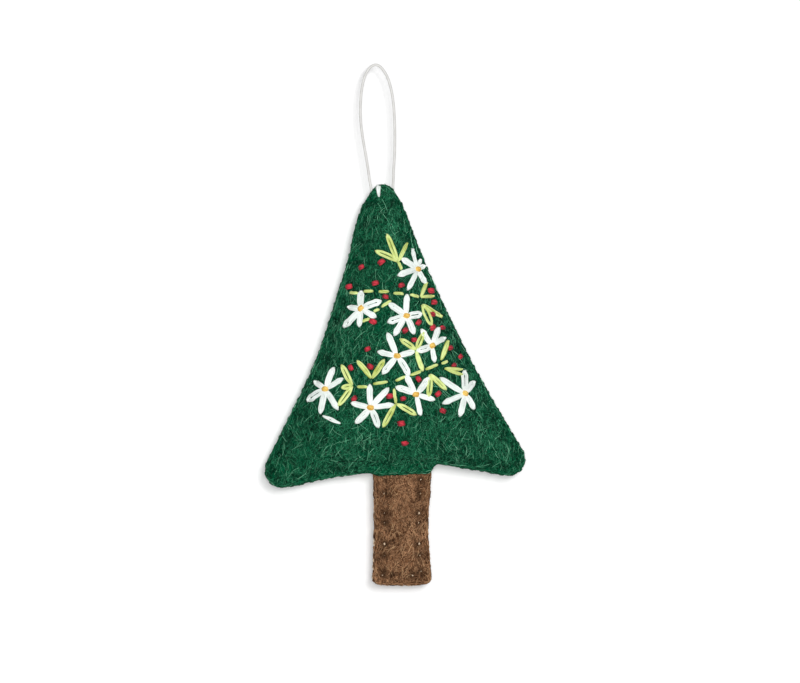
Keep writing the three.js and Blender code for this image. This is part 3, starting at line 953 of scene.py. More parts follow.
@dataclass
class TrunkCut(Cut):
    """The trunk: straight sides, rounded foot, its top sewn in between the tree's panels."""

    tree: TreeCut
    width: float = 16.2
    drop: float = 33.5
    tuck: float = 4.0
    corner: float = 1.4
    foot_bow: float = 0.8
    flare: float = 0.3  # how far its ends stand out past the cut
    waist: float = 0.5
    draw: float = 0.5  # how far its right side is drawn in at half its drop
    offset: float = 1.9
    lean: float = 2.9  # degrees
    felt: float = 1.8
    seam: float = 1.6
    fullness: float = 2.6
    swell_run: float = 4.5
    fill_drop: float = 9.0

    def curves(self) -> list[Array]:
        """Sets out the top, side, corner and foot of the right half.

        Returns:
            The curves in that order.
        """
        half, foot = self.width / 2 + self.flare, -self.drop
        side_foot = (half, foot + self.foot_bow + self.corner)
        foot_side = (half - self.corner, foot + self.foot_bow / 2)
        return [
            bezier([(0.0, self.tuck), (half, self.tuck)], 8),
            bezier([(half, self.tuck), (half - 2 * self.waist, foot / 2), side_foot], 30),
            bezier([side_foot, (half, foot + self.foot_bow), foot_side], 12),
            bezier([foot_side, (half / 2, foot), (0.0, foot)], 10),
        ]

    def hollow(self, x: Array, z: Array) -> Array:
        """Returns the half depth of the filling."""
        rise = smooth((self.distance(x, z) - self.seam) / self.swell_run)
        return self.fullness * rise * smooth((-FIT - z) / self.fill_drop)

    def settle(self, place: Array) -> Array:
        """Returns how far the bend of the right side moves each place, across and in height."""
        bend = self.draw * bell(place[:, 1] + self.drop / 2, self.drop / 4)
        return np.column_stack([-bend * (place[:, 0] > self.width / 4), np.zeros(len(place))])

    def in_frame(self, points: Array) -> Array:
        """Puts points of the trunk below the tree.

        Args:
            points: The points, in millimetres of its own cut.

        Returns:
            The points as metres in the row frame.
        """
        turn = math.radians(self.lean)
        x, y, z = np.moveaxis(np.asarray(points, float), -1, 0)
        across = self.offset + x * math.cos(turn) + z * math.sin(turn)
        along = self.tree.arch - x * math.sin(turn) + z * math.cos(turn)
        return self.tree.in_frame(np.stack([across, y, along], axis=-1))


@dataclass
class Seam:
    """Overcast stitches along a stretch of an edge."""

    start: float
    end: float
    pitch: float
    bite: float
    notch: float = 0.05  # how far a stitch pulls the edge in
    dent: float = 0.65  # how deep a needle hole is drawn in, which also sets its painted shade
    dent_width: float = 0.9
    uneven: float = 0.0  # how far stitches are from even, as a share of their pitch

    WANDER = 3.7  # angle from one uneven stitch to the next

    def runs(self, part: float) -> Array:
        """Finds one part of every stitch.

        Args:
            part: The part, as a share of a pitch from the front hole.

        Returns:
            The runs of that part.
        """
        count = max(2, round(abs(self.end - self.start) / self.pitch)) + 1
        number = np.arange(count)
        sway = self.uneven * np.sin(self.WANDER * number)
        return self.start + (self.end - self.start) * (number + part + sway) / count

    def holes(self, cut: Cut, side: Side) -> Array:
        """Returns the places of the needle holes on one face."""
        place, inward = cut.sewn_edge(self.runs(0.0 if side is Side.FRONT else 0.5))
        return place + inward * self.bite

    def crossings(self) -> Array:
        """Returns the runs where the thread goes over the edge."""
        return np.sort(np.concatenate([self.runs(0.25), self.runs(0.75)]))


@dataclass(frozen=True)
class Hole:
    """A needle hole that draws the felt in, with painted shade in its dent."""

    at: Place
    depth: float = 0.3
    reach: float = 0.75


class Face:
    """Height and slope of a finished panel, looked up by flat place."""

    STEP = 0.4  # between two rays
    MARGIN = 3.0  # round the outline
    FAR = 60.0  # where the rays start
    FALL = 1.2  # depth lost per millimetre past the edge
    BLURS = 2

    def __init__(self, panel: Piece, side: Side, cut: Cut) -> None:
        """Casts a grid of rays on to a panel.

        Args:
            panel: The panel, in millimetres of its own cut.
            side: Which face it is.
            cut: Its cut.
        """
        self.sign = side.value
        low, high = cut.ring.min(0) - self.MARGIN, cut.ring.max(0) + self.MARGIN
        self.low = low
        nx, nz = (np.ceil((high - low) / self.STEP)).astype(int) + 1
        tree = BVHTree.FromObject(panel, bpy.context.evaluated_depsgraph_get())
        depth = np.full((nx, nz), np.nan)
        start_y, ahead = self.sign * self.FAR, Vector((0.0, -self.sign, 0.0))
        for i in range(nx):
            for k in range(nz):
                start = Vector((low[0] + i * self.STEP, start_y, low[1] + k * self.STEP))
                hit = tree.ray_cast(start, ahead)[0]
                if hit is not None and hit.y * self.sign > 0.0:
                    depth[i, k] = hit.y * self.sign
        while np.isnan(depth).any():
            depth = self.spread(depth)
        for _ in range(self.BLURS):
            depth = self.blurred(depth)
        self.depth = depth
        self.slope = np.gradient(depth, self.STEP)

    def spread(self, depth: Array) -> Array:
        """Adds one more ring of places past the edge, each a little lower.

        Args:
            depth: The grid, with no number where nothing is known yet.

        Returns:
            The new grid.
        """
        padded = np.pad(depth, 1, constant_values=np.nan)
        near = np.stack([padded[:-2, 1:-1], padded[2:, 1:-1], padded[1:-1, :-2], padded[1:-1, 2:]])
        known = ~np.isnan(near)
        total = np.where(known, near, 0.0).sum(0) / np.maximum(known.sum(0), 1)
        grown = np.where(known.any(0), total - self.FALL * self.STEP, np.nan)
        return np.where(np.isnan(depth), grown, depth)

    @staticmethod
    def blurred(depth: Array) -> Array:
        """Returns the grid with each place eased towards its neighbours."""
        p = np.pad(depth, 1, mode="edge")
        return (p[:-2, 1:-1] + p[2:, 1:-1] + p[1:-1, :-2] + p[1:-1, 2:] + 4 * depth) / 8

    def look(self, grid: Array, flat: Array) -> Array:
        """Reads a grid between its points.

        Args:
            grid: The grid.
            flat: Flat places.

        Returns:
            Its value at each place.
        """
        at = (flat - self.low) / self.STEP
        at = np.clip(at, 0.0, np.array(grid.shape) - 1.001)
        i, k = np.floor(at).astype(int).T
        s, t = (at - np.floor(at)).T
        return (
            grid[i, k] * (1 - s) * (1 - t)
            + grid[i + 1, k] * s * (1 - t)
            + grid[i, k + 1] * (1 - s) * t
            + grid[i + 1, k + 1] * s * t
        )

    def normal(self, flat: Array) -> Array:
        """Returns the outward directions at flat places."""
        dx, dz = (self.look(slope, flat) for slope in self.slope)
        return unit(np.column_stack([-dx, np.full(len(dx), float(self.sign)), -dz]))

    def above(self, flat: Array, height: Array | float) -> Array:
        """Returns the points at a height over flat places, one row each."""
        on = np.column_stack([flat[:, 0], self.sign * self.look(self.depth, flat), flat[:, 1]])
        return on + self.normal(flat) * np.broadcast_to(height, len(flat))[:, None]


Faces = dict[Side, Face]
FELT_CLOTH = {
    "quality": 6, "mass": 0.3, "air_damping": 5.0, "tension_stiffness": 30.0,
    "compression_stiffness": 30.0, "shear_stiffness": 15.0, "bending_stiffness": 3.0,
    "use_pressure": True,
}


@dataclass
class FeltPanel:
    """One felt panel of a stuffed pad: cut flat, swelled by its filling and drawn in by its stitches."""

    node: str
    cut: Cut
    side: Side
    seams: list[Seam]
    finish: WoolFelt
    slot: str
    spacing: float = 1.0
    slack: float = 0.86  # share of the swell before the filling presses
    pressure: float = 4.0
    cap: float = 2.5  # most that the filling moves the felt
    tucked: float | None = None  # above this height the felt is held by what it is sewn into
    ragged: float = 0.3  # unevenness of the cut edge
    lump: float = 0.3
    dimples: list[Hole] = field(default_factory=list)
    seed: float = 0.0

    CLEAR = 0.35  # least distance of the grid from the outline, in cells
    EDGE_SAMPLES = 2400
    EDGE_PASSES = 30  # times that the places along the edge are evened out
    CELL_PASSES = 40  # times that the cells beside it are
    CELL_REACH = 5.0  # how far from it
    FRAY = 2.2  # size of the cut edge's unevenness
    NOTCH_REACH = 0.8
    EDGE_HOLD = 0.6  # how firmly the seam holds the felt
    HOLE_HOLD = 0.9  # reach of a needle hole that holds it fully
    FRAMES = 20  # of the cloth simulation
    LUMP_SIZE = 11.0
    LUMP_FADE = 6.0  # distance from the edge where lumps are full
    NAP_SIZE = 1.3
    NAP_HEIGHT = 0.07
    FULL_DENT = 0.65  # a dent so deep gets the full painted shade
    SINK = 0.3  # how deep the thread sinks beside its hole
    SINK_REACH = 0.6

    def build(self) -> Piece:
        """Makes the panel in the millimetres of its cut.

        Returns:
            The panel.
        """
        sheet = self.lay_out()
        self.swell(sheet)
        Bench.finish(sheet, "SOLIDIFY", thickness=self.cut.felt, offset=0.0, use_even_offset=True,
                     use_quality_normals=True)
        Bench.finish(sheet, "SUBSURF", levels=1, render_levels=1)
        self.draw_in(sheet)
        Bench.shade_smooth(sheet)
        return sheet

    def lay_out(self) -> Piece:
        """Cuts the sheet from a grid and fits its border to the outline.

        Returns:
            The sheet, swelled a little.
        """
        low, high = self.cut.ring.min(0), self.cut.ring.max(0)
        across, down = np.ceil((high - low) / self.spacing).astype(int).tolist()
        bpy.ops.mesh.primitive_grid_add(x_subdivisions=across, y_subdivisions=down, size=1.0)
        sheet = bpy.context.object
        sheet.name = sheet.data.name = self.node + "_felt"
        flat = Bench.points(sheet)[:, :2] * (high - low) + (low + high) / 2
        clear = self.CLEAR * self.spacing
        within = self.cut.inside(*flat.T) & (self.cut.distance(*flat.T) > clear)
        corners = Bench.read(sheet.data.loops, "vertex_index", 1, np.int32)
        Bench.move(sheet, np.column_stack([flat, np.zeros(len(flat))]))
        Bench.drop_faces(sheet, ~within[corners.reshape(-1, 4)].all(axis=1))
        flat = self.fit_border(sheet, Bench.points(sheet)[:, :2]) * self.mirrored
        share = self.slack
        swell = share * self.cut.hollow(*flat.T)
        depth = FIT / 2 + swell + self.cut.felt / 2 * self.cut.slope(*flat.T) - self.cut.pressed(flat)
        Bench.move(sheet, np.column_stack([flat[:, 0], self.side.value * depth, flat[:, 1]]))
        return sheet

    @property
    def mirrored(self) -> Place:
        """Returns the factors that turn the sheet as laid out to the sheet as it faces."""
        return (float(-self.side.value), 1.0)

    def fit_border(self, sheet: Piece, flat: Array) -> Array:
        """Moves the border of the cut grid on to the outline and evens out the cells beside it.

        Args:
            sheet: The grid that is left.
            flat: Its places.

        Returns:
            The new places.
        """
        edges = Bench.edges(sheet)
        border = self.border(sheet)
        full = 2 * self.cut.half_run
        fine_run = np.linspace(0.0, full, self.EDGE_SAMPLES, endpoint=False)
        fine, _ = self.cut.edge(fine_run)
        gaps = np.linalg.norm(flat[border][:, None] - fine[None], axis=2)
        run = fine_run[gaps.argmin(axis=1)]
        step = np.mod(np.diff(run) + full / 2, full) - full / 2
        unrolled = np.concatenate([[run[0]], run[0] + np.cumsum(step)])
        turn = math.copysign(full, unrolled[-1] - unrolled[0])
        for _ in range(self.EDGE_PASSES):
            before = np.concatenate([[unrolled[-1] - turn], unrolled[:-1]])
            after = np.concatenate([unrolled[1:], [unrolled[0] + turn]])
            unrolled = (before + 2 * unrolled + after) / 4
        place, inward = self.cut.edge(unrolled)
        flat = flat.copy()
        spots = [Vector((x, z, self.seed)) for x, z in place / self.FRAY]
        uneven = np.array([noise.noise(spot) for spot in spots])
        depth = self.notches(unrolled * self.mirrored[0]) + self.ragged * uneven - self.cut.EASE
        flat[border] = place + inward * depth[:, None]
        flat[border] += self.cut.settle(place * self.mirrored) * self.mirrored
        free = self.cut.distance(*flat.T) < self.CELL_REACH
        free[border] = False
        count = np.bincount(edges.ravel(), minlength=len(flat))[:, None]
        for _ in range(self.CELL_PASSES):
            total = np.zeros_like(flat)
            np.add.at(total, edges[:, 0], flat[edges[:, 1]])
            np.add.at(total, edges[:, 1], flat[edges[:, 0]])
            flat[free] = (flat / 2 + total / count / 2)[free]
        return flat

    def border(self, sheet: Piece) -> list[int]:
        """Goes round the border of a sheet.

        Args:
            sheet: The sheet.

        Returns:
            The vertices of its border, in order.
        """
        used = Counter(key for polygon in sheet.data.polygons for key in polygon.edge_keys)
        beside: dict[int, list[int]] = {}
        for a, b in (key for key, times in used.items() if times == 1):
            beside.setdefault(a, []).append(b)
            beside.setdefault(b, []).append(a)
        loop = [min(beside)]
        ahead = beside[loop[0]][0]
        while ahead != loop[0]:
            loop.append(ahead)
            ahead = next(vertex for vertex in beside[ahead] if vertex != loop[-2])
        return loop

    def notches(self, run: Array) -> Array:
        """Lets the stitches pull the edge in.

        Args:
            run: Places along the edge.

        Returns:
            How far it is pulled in at each.
        """
        full = 2 * self.cut.half_run
        depth = np.zeros(len(run))
        for seam in self.seams:
            for crossing in seam.crossings():
                gap = np.mod(run - crossing + full / 2, full) - full / 2
                depth = np.maximum(depth, seam.notch * bell(gap, self.NOTCH_REACH))
        return depth

    def held(self, flat: Array) -> Array:
        """Tells how firmly the felt is held at its stitches.

        Args:
            flat: Flat places.

        Returns:
            A share for each place.
        """
        hold = self.EDGE_HOLD * (self.cut.distance(*flat.T) < self.cut.seam)
        for seam in self.seams:
            for hole in seam.holes(self.cut, self.side):
                hold = np.maximum(hold, np.linalg.norm(flat - hole, axis=1) < self.HOLE_HOLD)
        if self.tucked is not None:
            hold = np.maximum(hold, flat[:, 1] > self.tucked)
        return hold

    def swell(self, sheet: Piece) -> None:
        """Presses the filling against the felt.

        Args:
            sheet: The felt.
        """
        start = Bench.points(sheet)
        hold = self.held(start[:, [0, 2]])
        group = sheet.vertex_groups.new(name="sewn")
        for weight in np.unique(hold[hold > 0]):
            group.add(np.flatnonzero(hold == weight).tolist(), float(weight), "REPLACE")
        Bench.move(sheet, start * MM * SIM_SCALE)
        Bench.pick(sheet)
        bpy.ops.object.modifier_add(type="CLOTH")
        cloth = sheet.modifiers[-1]
        for name, value in FELT_CLOTH.items():
            setattr(cloth.settings, name, value)
        cloth.settings.vertex_group_mass = group.name
        cloth.settings.uniform_pressure_force = self.pressure
        cloth.settings.effector_weights.gravity = 0.0
        scene = bpy.context.scene
        for number in range(1, self.FRAMES + 1):
            scene.frame_set(number)
        bpy.ops.object.modifier_apply(modifier=cloth.name)
        scene.frame_set(1)
        sheet.vertex_groups.clear()
        moved = Bench.points(sheet) / (MM * SIM_SCALE) - start
        length = np.linalg.norm(moved, axis=1, keepdims=True)
        LOG.info("%s: the filling moves the felt by up to %.2f mm", self.node, length.max())
        Bench.move(sheet, start + moved * np.minimum(1.0, self.cap / np.maximum(length, TINY)))

    def draw_in(self, panel: Piece) -> None:
        """Adds lumps of filling, the pull of the stitches and the dents of the needle holes, and carries
        each dent's depth for the painted shade in it.

        Args:
            panel: The panel.
        """
        points = Bench.points(panel)
        normals = Bench.normals(panel)
        flat = points[:, [0, 2]]
        outside = smooth(normals[:, 1] * self.side.value + 0.6)
        lumps = bumps(points, self.LUMP_SIZE, (self.seed, 3.1, 0.7))
        nap = bumps(points, self.NAP_SIZE, (0.2, self.seed, 5.3))
        free = smooth(self.cut.distance(*flat.T) / self.LUMP_FADE)
        dent = np.zeros(len(points))
        for seam in self.seams:
            dent = np.maximum(dent, self.pull(seam, flat))
        for hole in self.dimples:
            gap = np.linalg.norm(flat - hole.at, axis=1)
            dent = np.maximum(dent, hole.depth * bell(gap, hole.reach))
        move = self.lump * lumps * free + self.NAP_HEIGHT * nap - dent * outside
        Bench.move(panel, points + normals * move[:, None])
        # painted shade: the depth of each dent on the outside, by which the materials darken the felt and
        # its fibres
        Bench.carry(panel, "dent", np.clip(dent * outside / self.FULL_DENT, 0.0, 1.0))

    def pull(self, seam: Seam, flat: Array) -> Array:
        """Lets the thread of a seam sink into the felt.

        Args:
            seam: The seam.
            flat: Flat places.

        Returns:
            How deep it sinks at each.
        """
        holes = seam.holes(self.cut, self.side)
        part = 0.0 if self.side is Side.FRONT else 0.5
        depth = np.zeros(len(flat))
        for way in (-0.25, 0.25):
            ends, _ = self.cut.sewn_edge(seam.runs(part + way))
            for hole, end in zip(holes, ends):
                share, gap = beside_stretch(flat, hole, end - hole)
                depth = np.maximum(depth, self.SINK * (1 - share) * bell(gap, self.SINK_REACH))
        for hole in holes:
            gap = np.linalg.norm(flat - hole, axis=1)
            depth = np.maximum(depth, seam.dent * bell(gap, seam.dent_width))
        return depth

    def dress(self, panel: Piece) -> None:
        """Puts the finished panel in the frame, in place of its node.

        Args:
            panel: The panel.
        """
        Bench.move(panel, self.cut.in_frame(Bench.points(panel)))
        self.finish.hand_over(panel, self.slot, self.node)


@dataclass
class Fuzz:
    """Loose wool fibres that lie on the felt in curls and stand off its edges."""

    name: str
    count: int
    cut: Cut
    side: Side
    finish: LooseWool
    slot: str
    seed: int
    shortest: float = 1.4
    longest: float = 4.0
    thin: float = 0.035
    thick: float = 0.08
    lie: float = 1.45  # main direction of the wool, as an angle from +X
    sway: float = 1.5  # how far that direction wanders
    stray: float = 0.6
    curl: float = 0.4
    past: float = 0.25  # how far a fibre may pass the edge
    rings: int = 2  # rings of points along a fibre

    TURNS = 3  # sides of a fibre
    FLOW = 8.0  # size of the wool's swirls
    PATCH = 5.0  # size of its paler and darker patches
    SUNK = 0.03  # how far a flat fibre lies in the felt
    EDGE_STEP = 0.1
    EDGE_NEAR, EDGE_FADE = 0.2, 0.9  # fibres lie along the edge as near as this, and fade from there

    def scatter(self, panel: Piece, rng: np.random.Generator) -> tuple[Array, Array, Array]:
        """Picks places on the outside of a panel, evenly over its area.

        Args:
            panel: The panel.
            rng: Source of the draws.

        Returns:
            Places, outward directions and how deep the stitches draw the felt in there.
        """
        panel.data.calc_loop_triangles()
        corners = Bench.read(panel.data.loop_triangles, "vertices", 3, np.int32)
        points = Bench.points(panel)
        a, b, c = (points[corners[:, k]] for k in range(3))
        cross = np.cross(b - a, c - a)
        area = np.linalg.norm(cross, axis=1)
        facing = cross[:, 1] * self.side.value / area
        weight = area * (0.5 + 0.5 * smooth((facing - 0.1) / 0.4)) * (facing > -0.5)
        drawn = Bench.carried(panel, "dent")[corners].mean(axis=1)
        weight *= 1.0 - 0.8 * drawn
        chosen = rng.choice(len(area), self.count, p=weight / weight.sum())
        s, t = rng.random((2, self.count, 1))
        over = s + t > 1.0
        s, t = np.where(over, 1 - s, s), np.where(over, 1 - t, t)
        place = a[chosen] + s * (b[chosen] - a[chosen]) + t * (c[chosen] - a[chosen])
        return place, cross[chosen] / area[chosen, None], drawn[chosen]

    def build(self, panel: Piece) -> Piece:
        """Makes the fibres of a panel.

        Args:
            panel: The panel, in the millimetres of its cut.

        Returns:
            All the fibres as one mesh.
        """
        rng = np.random.default_rng(self.seed)
        place, normal, drawn = self.scatter(panel, rng)
        points = self.lay(place, normal, rng)
        per = points.shape[1]
        faces = (np.arange(self.count)[:, None, None] * per + self.faces()[None]).reshape(-1, 3)
        mesh = bpy.data.meshes.new(self.name)
        mesh.from_pydata(self.cut.in_frame(points.reshape(-1, 3)).tolist(), [], faces.tolist())
        mesh.update()
        obj = Bench.add(self.name, mesh)
        # the wool's own paler and darker patches, and painted shade on the fibres where the stitches draw
        # the felt in
        shade = (1 + 0.35 * bumps(place, self.PATCH, (6.1, self.seed, 2.3))) * (1 - 0.9 * drawn)
        tone = np.clip(rng.beta(0.35, 0.42, self.count) * shade, 0.0, 1.0)
        Bench.carry(obj, "tone", np.repeat(tone, per))
        Bench.shade_smooth(obj)
        return self.finish.hand_over(obj, self.slot)

    def lay(self, place: Array, normal: Array, rng: np.random.Generator) -> Array:
        """Lays the fibres on the felt.

        Args:
            place: Places of their middles.
            normal: Outward directions there.
            rng: Source of the draws.

        Returns:
            The points of each fibre: one end, the rings and the other end.
        """
        flow = bumps(place, self.FLOW, (1.7, 0.3, self.seed))
        turn = self.lie + self.sway * flow + rng.normal(0.0, self.stray, self.count)
        across = unit(np.cross(normal, (0.0, 0.0, 1.0)) * self.side.value)
        up = np.cross(across, normal) * self.side.value
        ahead = np.cos(turn)[:, None] * across + np.sin(turn)[:, None] * up
        ahead = self.follow_edge(place, normal, ahead)
        beside = np.cross(normal, ahead)
        spare = self.room(place)
        facing = smooth(normal[:, 1:2] * self.side.value / 0.75)
        length = rng.uniform(self.shortest, self.longest, (self.count, 1)) * (0.4 + 0.6 * facing)
        for way in (-0.5, 0.5):
            lost = np.maximum(spare - self.room(place + way * length * ahead), TINY)
            length *= np.clip((spare - 0.1) / lost, 0.2, 1.0)
        curl = rng.normal(0.0, self.curl, (self.count, 1))
        lift = rng.gamma(2.0, 0.05, (self.count, 1)) * (0.15 + 0.85 * facing)
        radius = self.thin + (self.thick - self.thin) * rng.random((self.count, 1)) ** 3

        def middle(s: float) -> Array:
            """Returns the fibres' middles at a share of their length."""
            rise = lift * (1 - 3.2 * s * s) - self.SUNK
            return place + length * (s * ahead + curl * (s * s - 0.1) * beside) + rise * normal

        steps = np.linspace(-0.5, 0.5, self.rings + 2)
        rows = [middle(steps[0])]
        for s in steps[1:-1]:
            for angle in 2 * math.pi * np.arange(self.TURNS) / self.TURNS:
                rows.append(middle(s) + radius * (math.cos(angle) * beside + math.sin(angle) * normal))
        rows.append(middle(steps[-1]))
        return np.stack(rows, axis=1)

    def room(self, place: Array) -> Array:
        """Tells how far fibres may still reach before they pass the edge.

        Args:
            place: Their places.

        Returns:
            One row for each.
        """
        x, z = self.cut.unsettled(place[:, [0, 2]])
        gap = self.cut.distance(x, z)
        return np.where(self.cut.inside(x, z), gap, -gap)[:, None] + self.cut.EASE + self.past

    def follow_edge(self, place: Array, normal: Array, ahead: Array) -> Array:
        """Turns the fibres beside the edge to lie along it.

        Args:
            place: Places of the fibres.
            normal: Outward directions there.
            ahead: Directions of the fibres.

        Returns:
            The new directions.
        """
        x, z = self.cut.unsettled(place[:, [0, 2]])
        step = self.EDGE_STEP
        inward_x = self.cut.distance(x + step, z) - self.cut.distance(x - step, z)
        inward_z = self.cut.distance(x, z + step) - self.cut.distance(x, z - step)
        along = np.column_stack([-inward_z, np.zeros(len(x)), inward_x])
        along -= normal * (along * normal).sum(axis=1, keepdims=True)
        along = unit(along)
        along *= np.sign((along * ahead).sum(axis=1, keepdims=True))
        far = (self.cut.distance(x, z) - self.EDGE_NEAR) / self.EDGE_FADE
        share = 1 - smooth(far)[:, None]
        return unit(ahead * (1 - share) + along * share)

    def faces(self) -> Array:
        """Sets out the triangles of one fibre.

        Returns:
            Their corners, by number of the fibre's points.
        """
        n, last = self.TURNS, 1 + self.TURNS * self.rings
        rows = []
        for k in range(n):
            near, far = 1 + k, 1 + (k + 1) % n
            rows.append((0, far, near))
            for ring in range(self.rings - 1):
                a, b = near + ring * n, far + ring * n
                rows += [(a, b, b + n), (a, b + n, a + n)]
            end = (self.rings - 1) * n
            rows.append((near + end, far + end, last))
        return np.array(rows)


NAP = {"shortest": 0.8, "longest": 2.0, "thin": 0.048, "thick": 0.1, "stray": 0.8, "curl": 0.6}
HAIR = {"shortest": 2.2, "longest": 5.2, "thin": 0.045, "thick": 0.08, "stray": 0.5, "rings": 5}


@dataclass(frozen=True)
class Coat:
    """A coat of loose wool: its name, fibres, finish and first seed, and how the fibres lie."""

    name: str
    count: int
    finish: LooseWool
    seed: int
    lie: dict[str, float] = field(default_factory=dict)

    def lay(self, panel: FeltPanel, made: Piece) -> None:
        """Lays the coat on a panel, with a seed of its own on each side."""
        Fuzz(f"{panel.node}_{self.name}", self.count, panel.cut, panel.side, self.finish, panel.slot,
             self.seed + int(panel.side is Side.BACK), **self.lie).build(made)


TREE_COATS = (
    Coat("fuzz", 9600, GREEN_WOOL, 21),
    Coat("nap", 16500, GREEN_WOOL, 21, NAP),
    Coat("hair", 1500, GREEN_HAIR, 41, HAIR),
)
TRUNK_COATS = (
    Coat("fuzz", 2000, BROWN_WOOL, 31),
    Coat("nap", 4500, BROWN_WOOL, 31, NAP),
    Coat("hair", 280, BROWN_HAIR, 51, HAIR),
)


@dataclass
class EdgeThread:
    """One overcast thread, sunk in the felt and turned through its needle holes."""

    node: str
    cut: Cut
    seam: Seam
    finish: Floss
    slot: str
    ply: float = 0.2  # radius of a ply
    sink: float = -0.4
    glint: float = -0.1  # how far it stands out at its holes
    hidden: float = 0.0  # how much less it may stand out
    proud: float = 0.16  # how far it stands out where it goes over the edge
    slant: float = 0.5
    seed: int = 5

    DIVE = ((-0.5, -0.7), (0.5, -0.7))  # beside a hole: how far along the edge, and how high
    BEND = 0.9  # how far from the edge the thread leaves the face

    def __post_init__(self) -> None:
        """Starts the draws."""
        self.rng = np.random.default_rng(self.seed)

    def route(self, faces: Faces) -> Array:
        """Returns the thread's line, over the edge again and again.

        Args:
            faces: The finished faces of the pad.

        Returns:
            Its samples, in the millimetres of the cut.
        """
        count = len(self.seam.runs(0.0))
        points: list[Array] = []
        for i in range(count):
            for part, side in ((0.0, Side.FRONT), (0.5, Side.BACK)):
                points += self.turn(self.seam.runs(part)[i], faces[side])
                if i < count - 1 or side is Side.FRONT:
                    points += self.over(self.seam.runs(part + 0.25)[i], faces, side)
        return through(points, 0.3)

    def turn(self, run: float, face: Face) -> list[Array]:
        """Leads the thread in and out of one needle hole.

        Args:
            run: Where the hole is along the edge.
            face: The felt that it is in.

        Returns:
            The thread's points.
        """
        place, inward = self.cut.sewn_edge(np.array([run]))
        hole = place + inward * self.seam.bite
        along = np.column_stack([-inward[:, 1], inward[:, 0]])
        glint = self.glint - self.hidden * self.rng.random()
        heights = (self.DIVE[0], (0.0, glint), self.DIVE[1])
        return [face.above(hole + along * far, height)[0] for far, height in heights]

    def over(self, run: float, faces: Faces, side: Side) -> list[Array]:
        """Leads the thread from one face over the edge to the other.

        Args:
            run: Where it goes over.
            faces: The finished faces of the pad.
            side: The face that it comes from.

        Returns:
            The thread's points.
        """
        other = Side.BACK if side is Side.FRONT else Side.FRONT
        sunk = 1.8 * self.ply - self.proud - self.cut.EASE
        crest = FIT / 2 + 0.7 * self.cut.felt - self.cut.PRESS
        ways = []
        for end in (side, other):
            place, inward = self.cut.sewn_edge(np.array([run + self.slant * end.value]))
            x, z = (place + inward * sunk)[0]
            on_face = faces[end].above(place + inward * self.BEND, self.sink)[0]
            ways.append([on_face, np.array([x, end.value * crest, z])])
        return [*ways[0], *ways[1][::-1]]

    def build(self, faces: Faces) -> Piece:
        """Makes the thread in place of its node.

        Args:
            faces: The finished faces of the pad.

        Returns:
            The thread.
        """
        routes = plied(self.route(faces), 2, self.ply * 0.8, 1.8)
        lines = [self.cut.in_frame(route) for route in routes]
        thread = Bench.strands(self.node + "_thread", lines, self.ply * MM)
        return self.finish.hand_over(thread, self.slot, self.node)


@dataclass(frozen=True)
class Daisy:
    """A flower of looped stitches: its centre, and the angle, length and any own width of each petal."""

    at: Place
    petals: tuple[tuple[float, ...], ...]


@dataclass(frozen=True)
class Spray:
    """Running stitches and leaves in one floss."""

    node: str
    vine: tuple[tuple[Place, Place], ...] = ()
    sprigs: tuple[Daisy, ...] = ()
    stems: tuple[tuple[Place, Place], ...] = ()


DAISIES = (
    Daisy(
        (0.79, 0.293),
        ((20, 2.4, 0.8), (66, 3.0, 0.6), (100, 6, 0.7), (145, 5.5), (195, 6), (240, 6.5), (300, 4.5)),
    ),
    Daisy((-0.51, 0.417), ((20, 6), (85, 5), (170, 3.3), (225, 7), (260, 5), (330, 4.6))),
    Daisy((0.29, 0.448), ((5, 4.4, 1.2), (85, 6), (140, 6), (195, 5.5), (235, 6.5), (290, 5.5))),
    Daisy((0.07, 0.581), ((10, 5), (110, 7), (165, 5.5), (230, 6.5), (300, 6.5))),
    Daisy((0.58, 0.553), ((25, 4.5), (65, 5.5), (120, 5.5), (195, 4.5), (275, 4.5))),
    Daisy((-0.75, 0.682), ((30, 5.5), (70, 6.5), (140, 3.5), (210, 6), (255, 7), (295, 6.5))),
    Daisy((-0.24, 0.75), ((5, 6.5), (45, 7.5), (90, 6.5), (165, 5.5), (225, 6), (290, 6))),
    Daisy((0.24, 0.713), ((50, 6), (115, 6), (155, 6), (280, 6), (340, 5.5))),
    Daisy((0.77, 0.72), ((45, 4.5), (85, 6.5), (145, 8.5), (200, 7), (250, 6.5), (295, 5))),
)
BERRIES = (
    (-0.13, 0.263), (-0.63, 0.277), (-0.27, 0.333), (-0.82, 0.341), (0.30, 0.344), (-0.06, 0.380),
    (-0.28, 0.462), (0.48, 0.472), (0.23, 0.497), (0.85, 0.494), (-0.33, 0.553),
    (0.35, 0.530), (0.84, 0.563), (0.93, 0.594), (0.79, 0.622), (-0.52, 0.613), (-0.28, 0.612),
    (0.30, 0.662), (-0.42, 0.718), (-0.04, 0.714), (0.10, 0.725), (0.48, 0.715), (0.48, 0.773),
    (0.06, 0.808), (0.08, 0.875),
    (0.93, 0.367), (0.89, 0.407), (0.76, 0.447), (0.69, 0.491),
)
BERRY_NODES = 25  # the first of these have a solid of their own
